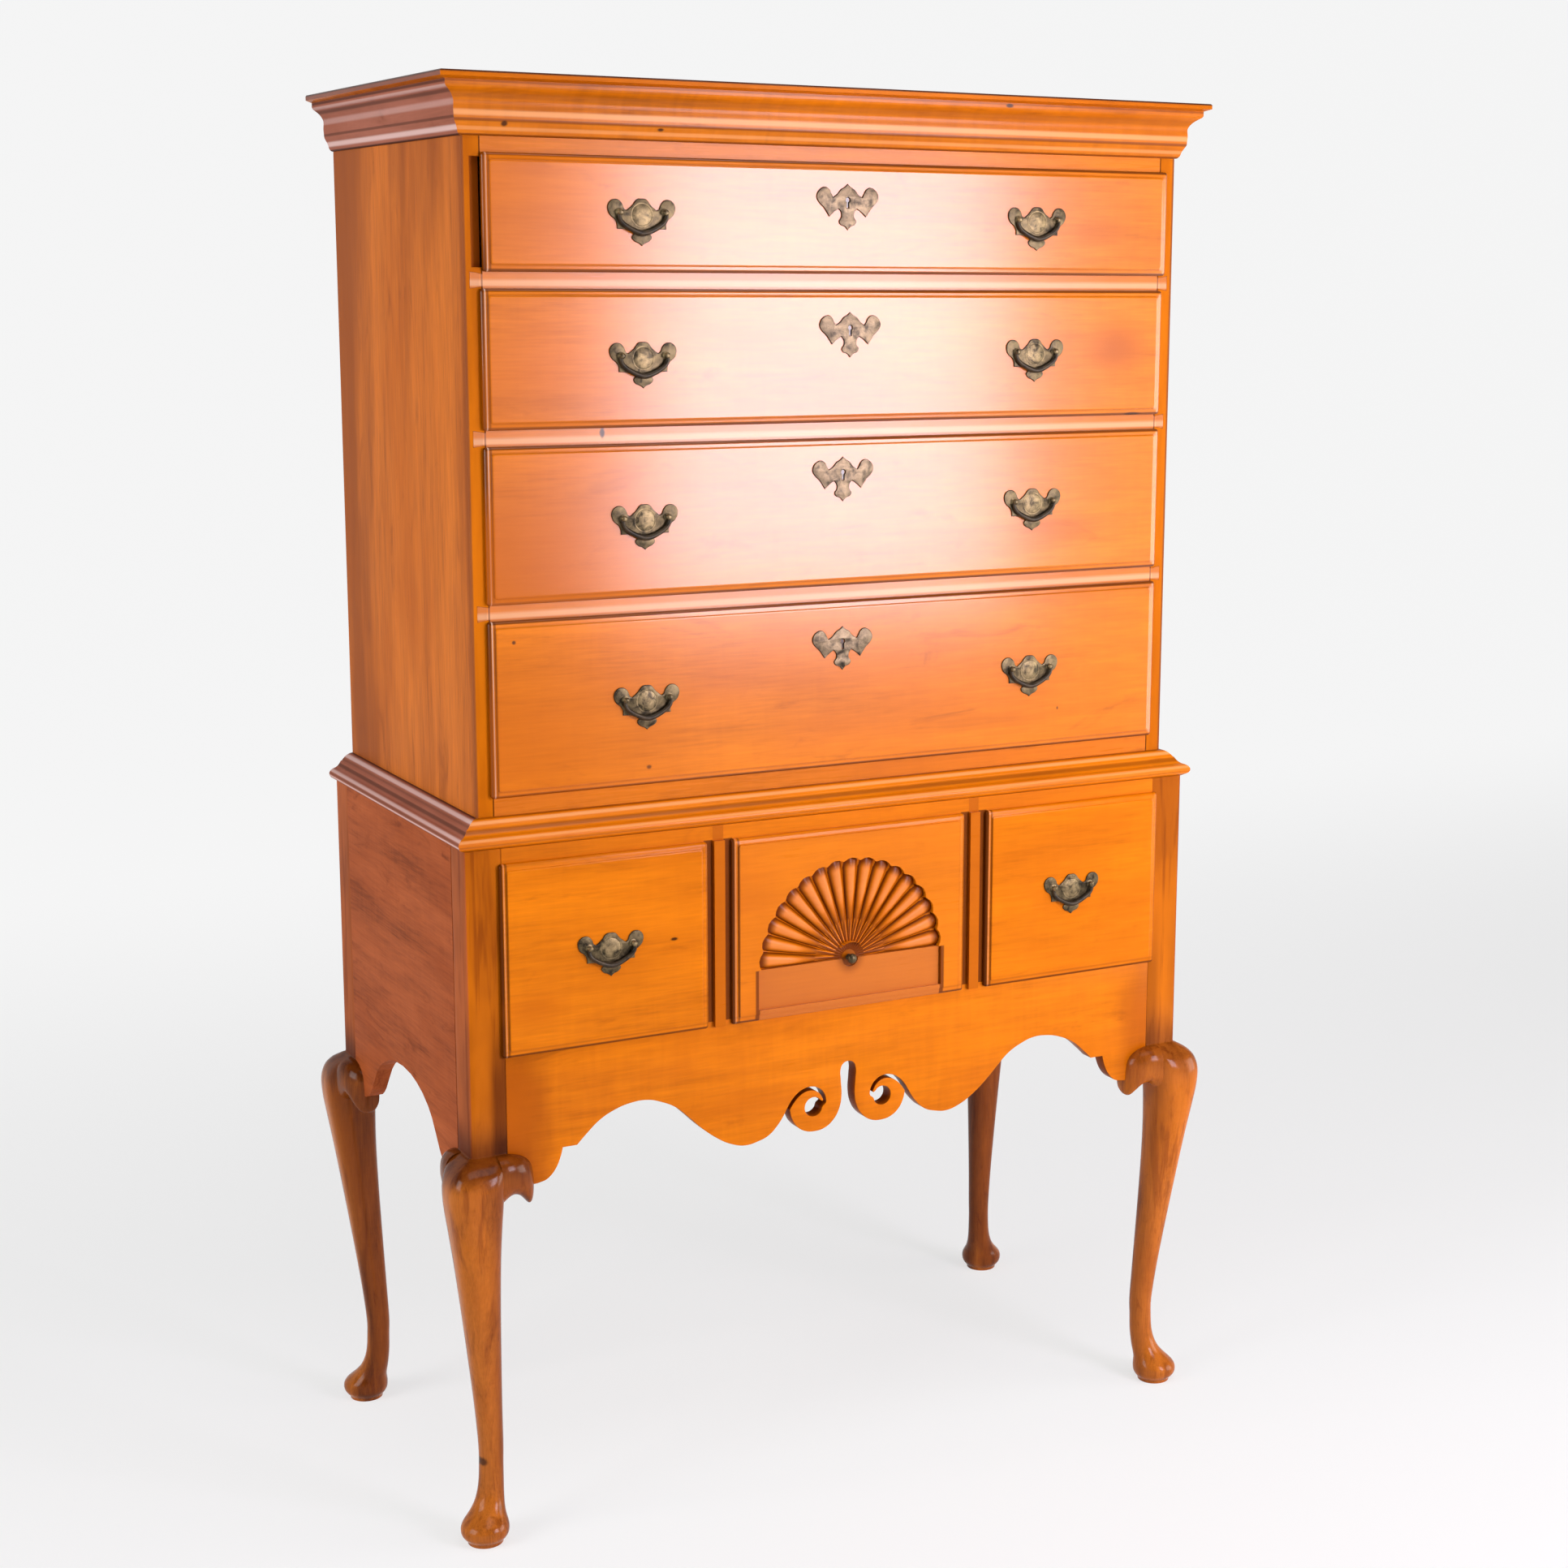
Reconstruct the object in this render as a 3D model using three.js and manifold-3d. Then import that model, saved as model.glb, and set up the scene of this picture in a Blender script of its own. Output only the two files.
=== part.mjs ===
// Flat-top highboy in maple: a case of four drawers that stands on a case of three drawers,
// carried by four cabriole legs, with a carved fan, a scrolled apron and brass pulls.
// Millimetres. The front faces -y, z is up, and the floor is z = 0 under the middle of the case.

import * as THREE from 'three';
import { mergeVertices } from 'three/addons/utils/BufferGeometryUtils.js';
import Module from 'manifold-3d';

const wasm = await Module();
wasm.setup();

// Driving dimensions of the lower case

const lowerWidth = 1000;
const lowerDepth = 482;
const lowerTop = 866;
const postWidth = 45;
const lowerSideThick = 20;
const lowerBackThick = 15;
const lowerBackBottom = 500;
const apronThick = 20;
const apronLow = 445;
const apronRise = 79.5;
const sideLow = 447;
const sideRise = 86;
const lowerRailShow = 30;
const lowerFaceHeight = 231.5;
const lowerLipOver = 6;
const lowerLipSide = 4.5;
const dividerWidth = 41;
const beadWidth = 14;
const beadProud = 5;

// Apron scrolls

const scrollHeight = 484;
const slitWidth = 4;
const slotTop = 533;

// Driving dimensions of the legs

const kneeTop = 487;
const kneeWidth = 68;
const kneeThrow = 20.2;
const footWidth = 62;
const footThrow = 11;
const kneeBlockWidth = 32;
const kneeBlockProud = 15;
const kneeBlockHigh = 502;
const kneeBlockTip = 420;

// Driving dimensions of the upper case

const upperSideSetback = 23;
const upperFrontSetback = 19;
const upperHeight = 845;
const upperSideThick = 22;
const upperBackThick = 12;
const upperRailThick = 20;
const bladeDepth = 60;
const bottomBoardThick = 18;
const friezeHeight = 75.5;
const railShow = 18.5;
const upperLipOver = 4.5;
const bottomRailShow = 43.5;
const dovetailDepth = 15;
const dovetailNeck = 13;
const dovetailTail = 18;
const rebateWidth = 13;
const rebateDepth = 8;
const topBoardThick = 9;
const topBoardEdge = 5.5;
const topBoardOverhang = 33;

// Mouldings

const corniceHeight = 58;
const corniceProjection = 26;
const waistHeight = 34.5;
const waistProjection = 9;
const waistDrop = 12;

// Drawers

const lipThick = 8;
const lipEdge = 2.5;
const lipRound = 6.5;
const fieldInset = 8.5;
const fieldStep = 1.6;
const frontBody = 14;
const drawerPlay = 1.5;
const topDrawerPlay = 5;
const topDrawerShift = 4;
const drawerHeadroom = 4;
const drawerWall = 11;
const drawerBottomThick = 7;
const drawerBottomLift = 6;
const drawerBackGap = 12;
const runnerHeight = 16;
const runnerWidth = 18;
const lowerRunnerHeight = 18;
const centreRunnerWidth = 72;
const guideWidth = 37;
const guideHeight = 12;
const battenDepth = 20;

// Fan carving

const fanBaseDepth = 4;
const fanBaseMargin = 5;
const fanRecess = 8.5;
const fanCrest = 5.6;
const fanValley = 0.3;
const fanLobes = 17;
const stepsPerLobe = 4;
const scallopDepth = 4;

// Brasses

const plateWidth = 84;
const plateHeight = 53;
const plateThick = 1.6;
const escutcheonWidth = 84;
const escutcheonHeight = 54;
const escutcheonThick = 1.4;
const keyholeRadius = 2.6;
const keyholeSlot = 9;
const keyholeSlotWidth = 2.6;
const nailHoleRadius = 1.1;
const postSpacing = 56;
const postRadius = 3.4;
const postLength = 9;
const pivotProud = 5.2;
const pivotDrop = 15.5;
const bailRadius = 1.9;
const pinRadius = 1.5;
const pinClearance = 0.35;
const bailDrop = 22.5;
const lowerPullInset = 3.5;
const knobRadius = 6.5;
const knobLength = 14;
const knobRecess = 11;
const shankRadius = 2.4;
const shankProud = 3;

// Clearances and the overrun that every cut and join shares

const fit = 0.3;
const overrun = 1;

// Shares of the sizes above: drawers, dividers, pulls, fan and scrolls

const upperFaceShares = [0.19314, 0.23415, 0.26697, 0.30574];
const upperRailCount = 3;
const dividerShare = 0.3945;
const upperPullShare = 0.5846;
const fanWidthShare = 0.8113;
const fanHeightShare = 0.5572;
const fanHubShare = 0.163;
const fanCentreShare = 0.2743;
const scrollCentreShare = 0.0956;
const scrollRadiusShare = 0.0758;
const eyeOffsetShare = 0.00495;
const eyeRadiusShare = 0.0264;
const slitStartShare = 0.0769;
const slitEndShare = 0.0275;
const slotShare = 0.0264;

// Places that follow from the driving dimensions

const backPlane = lowerDepth / 2;
const lowerInner = lowerWidth / 2 - postWidth;
const lowerFront = -lowerDepth / 2;
const upperWidth = lowerWidth - 2 * upperSideSetback;
const upperDepth = lowerDepth - upperFrontSetback;
const upperInner = upperWidth / 2 - upperSideThick;
const upperFront = backPlane - upperDepth;
const upperTop = lowerTop + upperHeight;
const lowerFaceTop = lowerTop - lowerRailShow;
const lowerFaceBottom = lowerFaceTop - lowerFaceHeight;
const lowerOpeningTop = lowerFaceTop - lowerLipOver;
const lowerOpeningBottom = lowerFaceBottom + lowerLipOver;
const upperBackFront = backPlane - upperBackThick;
const lowerBackFront = backPlane - lowerBackThick;
const dividerCentre = dividerShare * lowerInner;
const upperPullCentre = upperPullShare * upperInner;
const scrollCentre = scrollCentreShare * lowerInner;
const scrollRadius = scrollRadiusShare * lowerInner;
const eyeOffset = eyeOffsetShare * lowerInner;
const eyeRadius = eyeRadiusShare * lowerInner;
const slitStartRadius = slitStartShare * lowerInner;
const slitEndRadius = slitEndShare * lowerInner;
const slotHalfWidth = slotShare * lowerInner;
const fanRadius = Math.min(
  fanWidthShare * (dividerCentre - dividerWidth / 2), fanHeightShare * lowerFaceHeight);
const fanHubRadius = fanHubShare * fanRadius;
const fanCentreHeight = fanCentreShare * lowerFaceHeight;

// The lip of each upper drawer, from the top down
const upperFaces = [];
const upperRailsShow = friezeHeight + upperRailCount * railShow + bottomRailShow;
let nextTop = upperTop - friezeHeight;
for (const share of upperFaceShares) {
  const height = share * (upperHeight - upperRailsShow);
  upperFaces.push({ top: nextTop, bottom: nextTop - height });
  nextTop -= height + railShow;
}
const upperOpenings = upperFaces.map((face) => ({
  top: face.top - upperLipOver,
  bottom: face.bottom + upperLipOver,
}));

// Outlines, as shares of the sizes that they follow

// Half of the apron's lower edge: share of its half length, share of its rise
const apronShares = [
  [1, 0], [0.901, 0], [0.884, 0.044], [0.866, 0.138], [0.854, 0.264], [0.847, 0.478],
  [0.807, 0.478], [0.780, 0.604], [0.747, 0.780], [0.703, 0.918], [0.653, 0.994],
  [0.598, 0.994], [0.549, 0.906], [0.501, 0.717], [0.450, 0.440], [0.404, 0.208],
  [0.360, 0.063], [0.318, 0.006], [0.275, 0.050], [0.237, 0.157], [0.209, 0.302],
  [0.187, 0.459],
];

// Half of a side's lower edge: share of its half length, share of its rise
const sideShares = [
  [1, 0], [0.806, 0], [0.755, 0.040], [0.710, 0.110], [0.668, 0.200], [0.602, 0.395],
  [0.536, 0.580], [0.469, 0.709], [0.367, 0.837], [0.265, 0.920], [0.153, 0.977], [0, 1],
];

// Half of a pull plate: share of its half width, share of its height from the top
const plateShares = [
  [0, 0], [0.13, 0.015], [0.275, 0.14], [0.44, 0.25], [0.55, 0.18], [0.61, 0.075],
  [0.76, 0.02], [0.92, 0.06], [1, 0.18], [0.975, 0.29], [0.88, 0.38], [0.785, 0.445],
  [0.725, 0.55], [0.725, 0.645], [0.525, 0.65], [0.325, 0.70], [0.24, 0.745],
  [0.30, 0.81], [0.24, 0.895], [0.11, 0.955], [0, 1],
];

// Half of an escutcheon, in the same way
const escutcheonShares = [
  [0, 0], [0.1, 0.033], [0.2, 0.11], [0.33, 0.22], [0.465, 0.285], [0.53, 0.185],
  [0.61, 0.09], [0.72, 0.065], [0.86, 0.11], [0.965, 0.2], [1, 0.3], [0.92, 0.41],
  [0.79, 0.5], [0.70, 0.59], [0.61, 0.715], [0.405, 0.59], [0.285, 0.54], [0.2, 0.61],
  [0.195, 0.715], [0.275, 0.79], [0.25, 0.86], [0.12, 0.915], [0, 1],
];
const lockShifts = [-4, 4, -5, -5];
const keyholeShare = 0.35;
const pullHeightShares = [0.434, 0.452, 0.46, 0.456];
const escutcheonHeightShares = [0.601, 0.662, 0.7235, 0.717];
const lowerPullHeightShare = 0.475;
const nailHoleShares = [[-0.7, 0.235], [0.7, 0.235], [0, 0.815]];

// Cornice section: share of its projection, share of its height
const corniceShares = [
  [0, 0], [0.096, 0], [0.096, 0.069], [0.19, 0.129], [0.365, 0.241], [0.442, 0.362],
  [0.442, 0.603], [0.577, 0.69], [0.788, 0.784], [1, 0.879], [1, 1], [0, 1],
];

// Waist section outside the lower case: share of its projection, share of its height
const waistOuterShares = [
  [0, 0], [0.25, 0.02], [0.55, 0.08], [0.7, 0.165], [1, 0.2], [1, 0.385], [0.4, 0.45],
];

// Waist section over the lower case: share of the step between the cases, share of its height
const waistInnerShares = [[0.2, 0.6], [0.45, 0.72], [0.5, 0.79], [0.75, 0.955], [0.98, 1]];

// Leg from the floor up: share of the knee's height, share of its throw, share of its width,
// and the power of the section's rounded square
const legStations = [
  [0.0945, 0.4257, 0.6765, 2], [0.115, 0.2475, 0.5368, 2], [0.1437, 0.0198, 0.4559, 2],
  [0.1848, -0.1188, 0.4353, 2], [0.2361, -0.1287, 0.4412, 2.1], [0.3285, 0.0099, 0.4794, 2.2],
  [0.4312, 0.198, 0.5441, 2.3], [0.5339, 0.396, 0.6176, 2.4], [0.6366, 0.5941, 0.6985, 2.5],
  [0.7392, 0.7822, 0.7941, 2.6], [0.8214, 0.9208, 0.8897, 2.8], [0.883, 1, 0.9706, 2.9],
  [0.9281, 0.9802, 1, 3], [0.961, 0.8119, 0.9706, 3.3], [0.9815, 0.5446, 0.8824, 4],
  [0.9949, 0.2228, 0.75, 6], [1, 0, 0.6618, 14],
];

// Foot from the floor up: share of the knee's height, share of the foot's width
const footStations = [
  [0, 0.6774], [0.0082, 0.7419], [0.0144, 0.8548], [0.0329, 0.9677], [0.0534, 0.9919],
  [0.0739, 0.9194],
];

// A knee block's face: share of its width from the post, share of its height from the tip
const kneeBlockShares = [
  [-0.45, 1], [0.1, 0.97], [0.5, 0.86], [0.85, 0.66], [1, 0.5], [1, 0.12], [0.85, 0],
  [0.55, 0.13], [0.15, 0.16], [-0.45, 0.02],
];
const kneeBlockBevelShare = 0.35;

// A knob's section: share of its radius, share of its length from the drawer
const knobShares = [
  [0, 0], [0.62, 0], [0.62, 0.08], [0.36, 0.2], [0.34, 0.4], [0.8, 0.55], [1, 0.74],
  [0.86, 0.92], [0.45, 1], [0, 1],
];

// A bail below its pins: share of its half width, share of its drop
const bailShares = [
  [0.79, -0.09], [0.79, 0.25], [0.66, 0.68], [0.42, 0.95], [0, 1],
];
const pinStartShare = 1.04;
const pinEndShare = 0.78;

// A fan lobe from hub to rim: share of the way out, share of the crest's height
const lobeShares = [[0, 0.1], [0.25, 0.55], [0.7, 0.95], [0.9, 1], [1, 0.35]];

// Axes of the two drawing planes: a front drawing's depth runs to -y, a side drawing's to +x
const frontBasis = new THREE.Matrix4().makeBasis(
  new THREE.Vector3(1, 0, 0), new THREE.Vector3(0, 0, 1), new THREE.Vector3(0, -1, 0));
const sideBasis = new THREE.Matrix4().makeBasis(
  new THREE.Vector3(0, 1, 0), new THREE.Vector3(0, 0, 1), new THREE.Vector3(1, 0, 0));

// Helpers: closed geometries and their joins

function block(x0, x1, y0, y1, z0, z1) {
  const geometry = new THREE.BoxGeometry(x1 - x0, y1 - y0, z1 - z0);
  return geometry.translate((x0 + x1) / 2, (y0 + y1) / 2, (z0 + z1) / 2);
}

function outlined(points, depth) {
  const shape = new THREE.Shape(points.map(([u, v]) => new THREE.Vector2(u, v)));
  return new THREE.ExtrudeGeometry(shape, { depth, bevelEnabled: false });
}

// A drawing of x and z, solid from y0 back to y1
function frontBoard(points, y0, y1) {
  return outlined(points, y1 - y0).applyMatrix4(frontBasis).translate(0, y1, 0);
}

// A drawing of y and z, solid from x0 to x1
function sideBoard(points, x0, x1) {
  return outlined(points, x1 - x0).applyMatrix4(sideBasis).translate(x0, 0, 0);
}

// A round bar along y from y0 to y1
function bar(x, z, radius, y0, y1, sides = 12) {
  return frontBoard(circle(x, z, radius, sides), y0, y1);
}

// A flat ring's triangles, in the order that its corners turn
function capTriangles(ring) {
  const points = ring.map((point) => new THREE.Vector3(...point));
  const normal = new THREE.Vector3();
  points.forEach((point, i) => {
    const next = points[(i + 1) % points.length];
    normal.add(new THREE.Vector3().crossVectors(point, next));
  });
  normal.normalize();
  const across = new THREE.Vector3().subVectors(points[1], points[0]).normalize();
  const up = new THREE.Vector3().crossVectors(normal, across);
  const flat = points.map((point) => new THREE.Vector2(point.dot(across), point.dot(up)));
  return THREE.ShapeUtils.triangulateShape(flat, []);
}

function skin(points, index) {
  const geometry = new THREE.BufferGeometry();
  geometry.setAttribute('position', new THREE.Float32BufferAttribute(points.flat(), 3));
  geometry.setIndex(index);
  return geometry;
}

// A skin over rings of equal length, closed by flat ends
function loft(rings) {
  const count = rings[0].length;
  const last = (rings.length - 1) * count;
  const index = [];
  for (let ring = 0; ring + 1 < rings.length; ring += 1) {
    for (let corner = 0; corner < count; corner += 1) {
      const next = (corner + 1) % count;
      const a = ring * count + corner;
      const b = ring * count + next;
      index.push(a, b, b + count, a, b + count, a + count);
    }
  }
  for (const [i, j, k] of capTriangles(rings[0])) index.push(i, k, j);
  for (const [i, j, k] of capTriangles(rings[rings.length - 1])) {
    index.push(last + i, last + j, last + k);
  }
  return skin(rings.flat(), index);
}

// A closed slab between two grids of equal size, the first one below the second
function slab(low, high) {
  const rows = low.length;
  const columns = low[0].length;
  const top = rows * columns;
  const at = (i, j) => i * columns + j;
  const index = [];
  const quad = (a, b, c, d) => index.push(a, b, c, a, c, d);
  for (let i = 0; i + 1 < rows; i += 1) {
    for (let j = 0; j + 1 < columns; j += 1) {
      quad(at(i, j), at(i, j + 1), at(i + 1, j + 1), at(i + 1, j));
      quad(top + at(i, j), top + at(i + 1, j), top + at(i + 1, j + 1), top + at(i, j + 1));
    }
    const end = columns - 1;
    quad(at(i, 0), at(i + 1, 0), top + at(i + 1, 0), top + at(i, 0));
    quad(at(i + 1, end), at(i, end), top + at(i, end), top + at(i + 1, end));
  }
  for (let j = 0; j + 1 < columns; j += 1) {
    const end = rows - 1;
    quad(at(0, j + 1), at(0, j), top + at(0, j), top + at(0, j + 1));
    quad(at(end, j), at(end, j + 1), top + at(end, j + 1), top + at(end, j));
  }
  return skin([...low.flat(), ...high.flat()], index);
}

// The solid inside a skin, moved by a basis that may mirror it
function solidOf(geometry, basis = new THREE.Matrix4()) {
  const bare = geometry.clone().applyMatrix4(basis);
  bare.deleteAttribute('normal');
  bare.deleteAttribute('uv');
  const merged = mergeVertices(bare);
  const triVerts = new Uint32Array(merged.index.array);
  if (basis.determinant() < 0) triVerts.reverse();
  const vertProperties = new Float32Array(merged.attributes.position.array);
  return new wasm.Manifold(new wasm.Mesh({ numProp: 3, vertProperties, triVerts }));
}

function union(solids) {
  return solids.reduce((whole, solid) => whole.add(solid));
}

function joined(geometries) {
  return union(geometries.map((geometry) => solidOf(geometry)));
}

function cut(whole, geometries) {
  return geometries.length ? whole.subtract(joined(geometries)) : whole;
}

// A half outline from top to bottom, closed by its mirror image
function mirrored(half) {
  const inner = half.slice(1, -1).reverse();
  return [...half, ...inner.map(([u, v]) => [-u, v])];
}

function circle(u, v, radius, sides) {
  return Array.from({ length: sides }, (_, i) => {
    const angle = (2 * Math.PI * i) / sides;
    return [u + radius * Math.cos(angle), v + radius * Math.sin(angle)];
  });
}

// Finishes

const finishes = {
  front: { color: 0xdb7f35, roughness: 0.3, metalness: 0 },
  side: { color: 0xb96830, roughness: 0.36, metalness: 0 },
  leg: { color: 0x9c4f26, roughness: 0.32, metalness: 0 },
  inside: { color: 0xc9a26c, roughness: 0.75, metalness: 0 },
  brass: { color: 0x8c7e66, roughness: 0.42, metalness: 0.85 },
};

const highboy = new THREE.Group();

function addNode(name, solid, finish) {
  const found = solid.getMesh();
  const geometry = new THREE.BufferGeometry();
  geometry.setAttribute('position', new THREE.BufferAttribute(found.vertProperties, 3));
  geometry.setIndex(new THREE.BufferAttribute(found.triVerts, 1));
  geometry.computeVertexNormals();
  const material = new THREE.MeshStandardMaterial({ ...finishes[finish], flatShading: true });
  const mesh = new THREE.Mesh(geometry, material);
  mesh.name = name;
  highboy.add(mesh);
}

// Legs: post, cabriole shaft and pad foot in one piece, with glued knee blocks

// A rounded square ring about (x, y), drawn anticlockwise from above
function legRing(x, y, z, width, power, sides = 16) {
  return Array.from({ length: sides }, (_, i) => {
    const angle = (2 * Math.PI * (i + 0.5)) / sides;
    const c = Math.cos(angle);
    const s = Math.sin(angle);
    const reach = width / 2 / (Math.abs(c) ** power + Math.abs(s) ** power) ** (1 / power);
    return [x + reach * c, y + reach * s, z];
  });
}

// A block on the face beside a post: u runs from the post, v is the height, w is outward
function kneeBlock(basis, low) {
  const height = kneeBlockHigh - kneeBlockTip;
  const outline = kneeBlockShares.map(([u, v]) => [
    u * kneeBlockWidth, kneeBlockTip + v * height,
  ]);
  const middleU = kneeBlockWidth / 2;
  const middleV = kneeBlockTip + height / 2;
  const narrow = 1 - kneeBlockBevelShare;
  const inset = outline.map(([u, v]) => [
    middleU + (u - middleU) * narrow, middleV + (v - middleV) * narrow,
  ]);
  const proud = loft([
    outline.map(([u, v]) => [u, v, 0]),
    outline.map(([u, v]) => [u, v, kneeBlockProud / 2]),
    inset.map(([u, v]) => [u, v, kneeBlockProud]),
  ].map((ring) => ring.reverse()));
  const underHigh = low - fit;
  const underLow = kneeBlockTip + (underHigh - kneeBlockTip) * kneeBlockBevelShare;
  const under = block(-fit, kneeBlockWidth, underLow, underHigh, -apronThick, fit);
  return [solidOf(proud, basis), solidOf(under, basis)];
}

function legSolid(sideX, sideY) {
  const half = postWidth / 2;
  const postX = sideX * (lowerWidth / 2 - half);
  const postY = sideY * (lowerDepth / 2 - half);
  const rings = footStations.map(([up, wide]) => legRing(
    postX + sideX * footThrow, postY + sideY * footThrow, up * kneeTop, wide * footWidth, 2));
  for (const [up, out, wide, power] of legStations) {
    const reach = out * kneeThrow;
    rings.push(legRing(
      postX + sideX * reach, postY + sideY * reach, up * kneeTop, wide * kneeWidth, power));
  }
  const post = block(
    postX - half, postX + half, postY - half, postY + half, kneeTop - half, lowerTop);
  const solids = [solidOf(loft(rings)), solidOf(post)];
  const up = new THREE.Vector3(0, 0, 1);
  const across = new THREE.Vector3(-sideX, 0, 0);
  const along = new THREE.Vector3(0, -sideY, 0);
  if (sideY < 0) {
    const basis = new THREE.Matrix4().makeBasis(across, up, new THREE.Vector3(0, sideY, 0));
    basis.setPosition(sideX * lowerInner, sideY * lowerDepth / 2, 0);
    solids.push(...kneeBlock(basis, apronLow));
  }
  const basis = new THREE.Matrix4().makeBasis(along, up, new THREE.Vector3(sideX, 0, 0));
  basis.setPosition(sideX * lowerWidth / 2, sideY * (lowerDepth / 2 - postWidth), 0);
  solids.push(...kneeBlock(basis, sideLow));
  return union(solids);
}

addNode('leg_front_left', legSolid(-1, -1), 'leg');
addNode('leg_front_right', legSolid(1, -1), 'leg');
addNode('leg_back_left', legSolid(-1, 1), 'leg');
addNode('leg_back_right', legSolid(1, 1), 'leg');

// Sides of the lower case, with a runner inside each

const sideHalf = lowerDepth / 2 - postWidth;
const sideCurve = sideShares.map(([u, v]) => [u * sideHalf, sideLow + v * sideRise]);
const sideOutline = [
  [sideHalf, lowerTop], ...sideCurve,
  ...sideCurve.slice(0, -1).reverse().map(([u, v]) => [-u, v]), [-sideHalf, lowerTop],
];
for (const [name, side] of [['left', -1], ['right', 1]]) {
  const outer = side * lowerWidth / 2;
  const inner = side * (lowerWidth / 2 - lowerSideThick);
  const runnerIn = side * (lowerInner - runnerWidth);
  const board = sideBoard(sideOutline, Math.min(outer, inner), Math.max(outer, inner));
  const runner = block(
    Math.min(runnerIn, inner + side * overrun), Math.max(runnerIn, inner + side * overrun),
    -sideHalf, sideHalf, lowerOpeningBottom - lowerRunnerHeight, lowerOpeningBottom);
  addNode(`lower_${name}_side`, joined([board, runner]), 'side');
}

addNode('lower_back', joined([
  block(-lowerInner, lowerInner, lowerBackFront, backPlane, lowerBackBottom, lowerTop),
]), 'inside');

// Front apron: a curved lower edge and two pierced scrolls

const apronCurve = apronShares.map(([u, v]) => [u * lowerInner, apronLow + v * apronRise]);
const notch = apronCurve[apronCurve.length - 1];
const apronHalf = [
  [0, lowerOpeningBottom], [lowerInner, lowerOpeningBottom], ...apronCurve,
  [scrollCentre, scrollHeight], [0, scrollHeight],
];
const apronFront = lowerFront;
const apronBack = lowerFront + apronThick;

function scrollSolid(side) {
  return solidOf(frontBoard(
    circle(side * scrollCentre, scrollHeight, scrollRadius, 28), apronFront, apronBack));
}

// The sawn slit winds from the notch over the top of the eye and ends in it
function slitGeometry(side) {
  const turns = 9;
  const eye = [scrollCentre + eyeOffset, scrollHeight];
  const middle = Array.from({ length: turns }, (_, i) => {
    const share = i / (turns - 1);
    const angle = -0.09 * Math.PI + share * Math.PI * 1.06;
    const radius = slitStartRadius + (slitEndRadius - slitStartRadius) * share ** 0.8;
    return { angle, radius };
  });
  const edge = (offset) => middle.map(({ angle, radius }) => [
    side * (eye[0] + (radius + offset) * Math.cos(angle)),
    eye[1] + (radius + offset) * Math.sin(angle),
  ]);
  const points = [...edge(slitWidth / 2), ...edge(-slitWidth / 2).reverse()];
  return frontBoard(points, apronFront - overrun, apronBack + overrun);
}

const slotShape = [
  [-slotHalfWidth, apronLow - overrun], [slotHalfWidth, apronLow - overrun],
  ...circle(0, slotTop - slotHalfWidth, slotHalfWidth, 16).slice(0, 9),
];
let apron = union([
  solidOf(frontBoard(mirrored(apronHalf), apronFront, apronBack)), scrollSolid(-1),
  scrollSolid(1),
]);
apron = cut(apron, [
  frontBoard(slotShape, apronFront - overrun, apronBack + overrun),
  ...[-1, 1].flatMap((side) => [
    slitGeometry(side),
    bar(side * (scrollCentre + eyeOffset), scrollHeight, eyeRadius,
      apronFront - overrun, apronBack + overrun, 20),
  ]),
]);
addNode('front_apron', apron, 'front');

// Top rail and the two dividers of the lower case, each divider with a raised strip

const strips = [-1, 1].flatMap((side) => {
  const centre = side * dividerCentre;
  const half = dividerWidth / 2;
  return [
    block(centre - half, centre + half, lowerFront, lowerFront + apronThick,
      lowerOpeningBottom, lowerOpeningTop + overrun),
    block(centre - beadWidth / 2, centre + beadWidth / 2, lowerFront - beadProud,
      lowerFront, lowerFaceBottom, lowerFaceTop),
    block(centre - beadWidth / 2, centre + beadWidth / 2, lowerFront - beadProud,
      lowerFront + overrun, lowerOpeningBottom, lowerFaceTop),
  ];
});
addNode('lower_front_frame', joined([
  block(-lowerInner, lowerInner, lowerFront, lowerFront + apronThick, lowerOpeningTop, lowerTop),
  ...strips,
]), 'front');

// Centre runners, with a guide on each, and the batten that carries them at the back

const battenFront = lowerBackFront - battenDepth;
const centreRunners = [-1, 1].flatMap((side) => {
  const centre = side * dividerCentre;
  return [
    block(centre - centreRunnerWidth / 2, centre + centreRunnerWidth / 2, apronBack,
      battenFront + overrun, lowerOpeningBottom - lowerRunnerHeight, lowerOpeningBottom),
    block(centre - guideWidth / 2, centre + guideWidth / 2, apronBack, lowerBackFront,
      lowerOpeningBottom - overrun, lowerOpeningBottom + guideHeight),
  ];
});
addNode('lower_runner_frame', joined([
  block(-lowerInner, lowerInner, battenFront, lowerBackFront,
    lowerOpeningBottom - lowerRunnerHeight, lowerOpeningBottom),
  ...centreRunners,
]), 'inside');

// Mouldings: one section led round the right side, the front and the left side

function led(section, width, front) {
  const station = (side, atBack) => section.map(([across, ahead, z]) => [
    side * (width / 2 + across), atBack ? backPlane : front - ahead, z,
  ]);
  return loft([station(1, true), station(1, false), station(-1, false), station(-1, true)]);
}

const waistBottom = lowerTop - waistDrop;
const stepSide = (lowerWidth - upperWidth) / 2;
const stepFront = upperFront - lowerFront;
const waistSection = [
  ...waistOuterShares.map(([out, up]) => [
    out * waistProjection, out * waistProjection, waistBottom + up * waistHeight,
  ]),
  ...[...waistInnerShares, [1, 1]].map(([back, up]) => [
    -back * stepSide, -back * stepFront, waistBottom + up * waistHeight,
  ]),
  [-stepSide, -stepFront, lowerTop],
  [0, 0, lowerTop],
];
addNode('waist_moulding', solidOf(led(waistSection, lowerWidth, lowerFront)), 'front');

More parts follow.
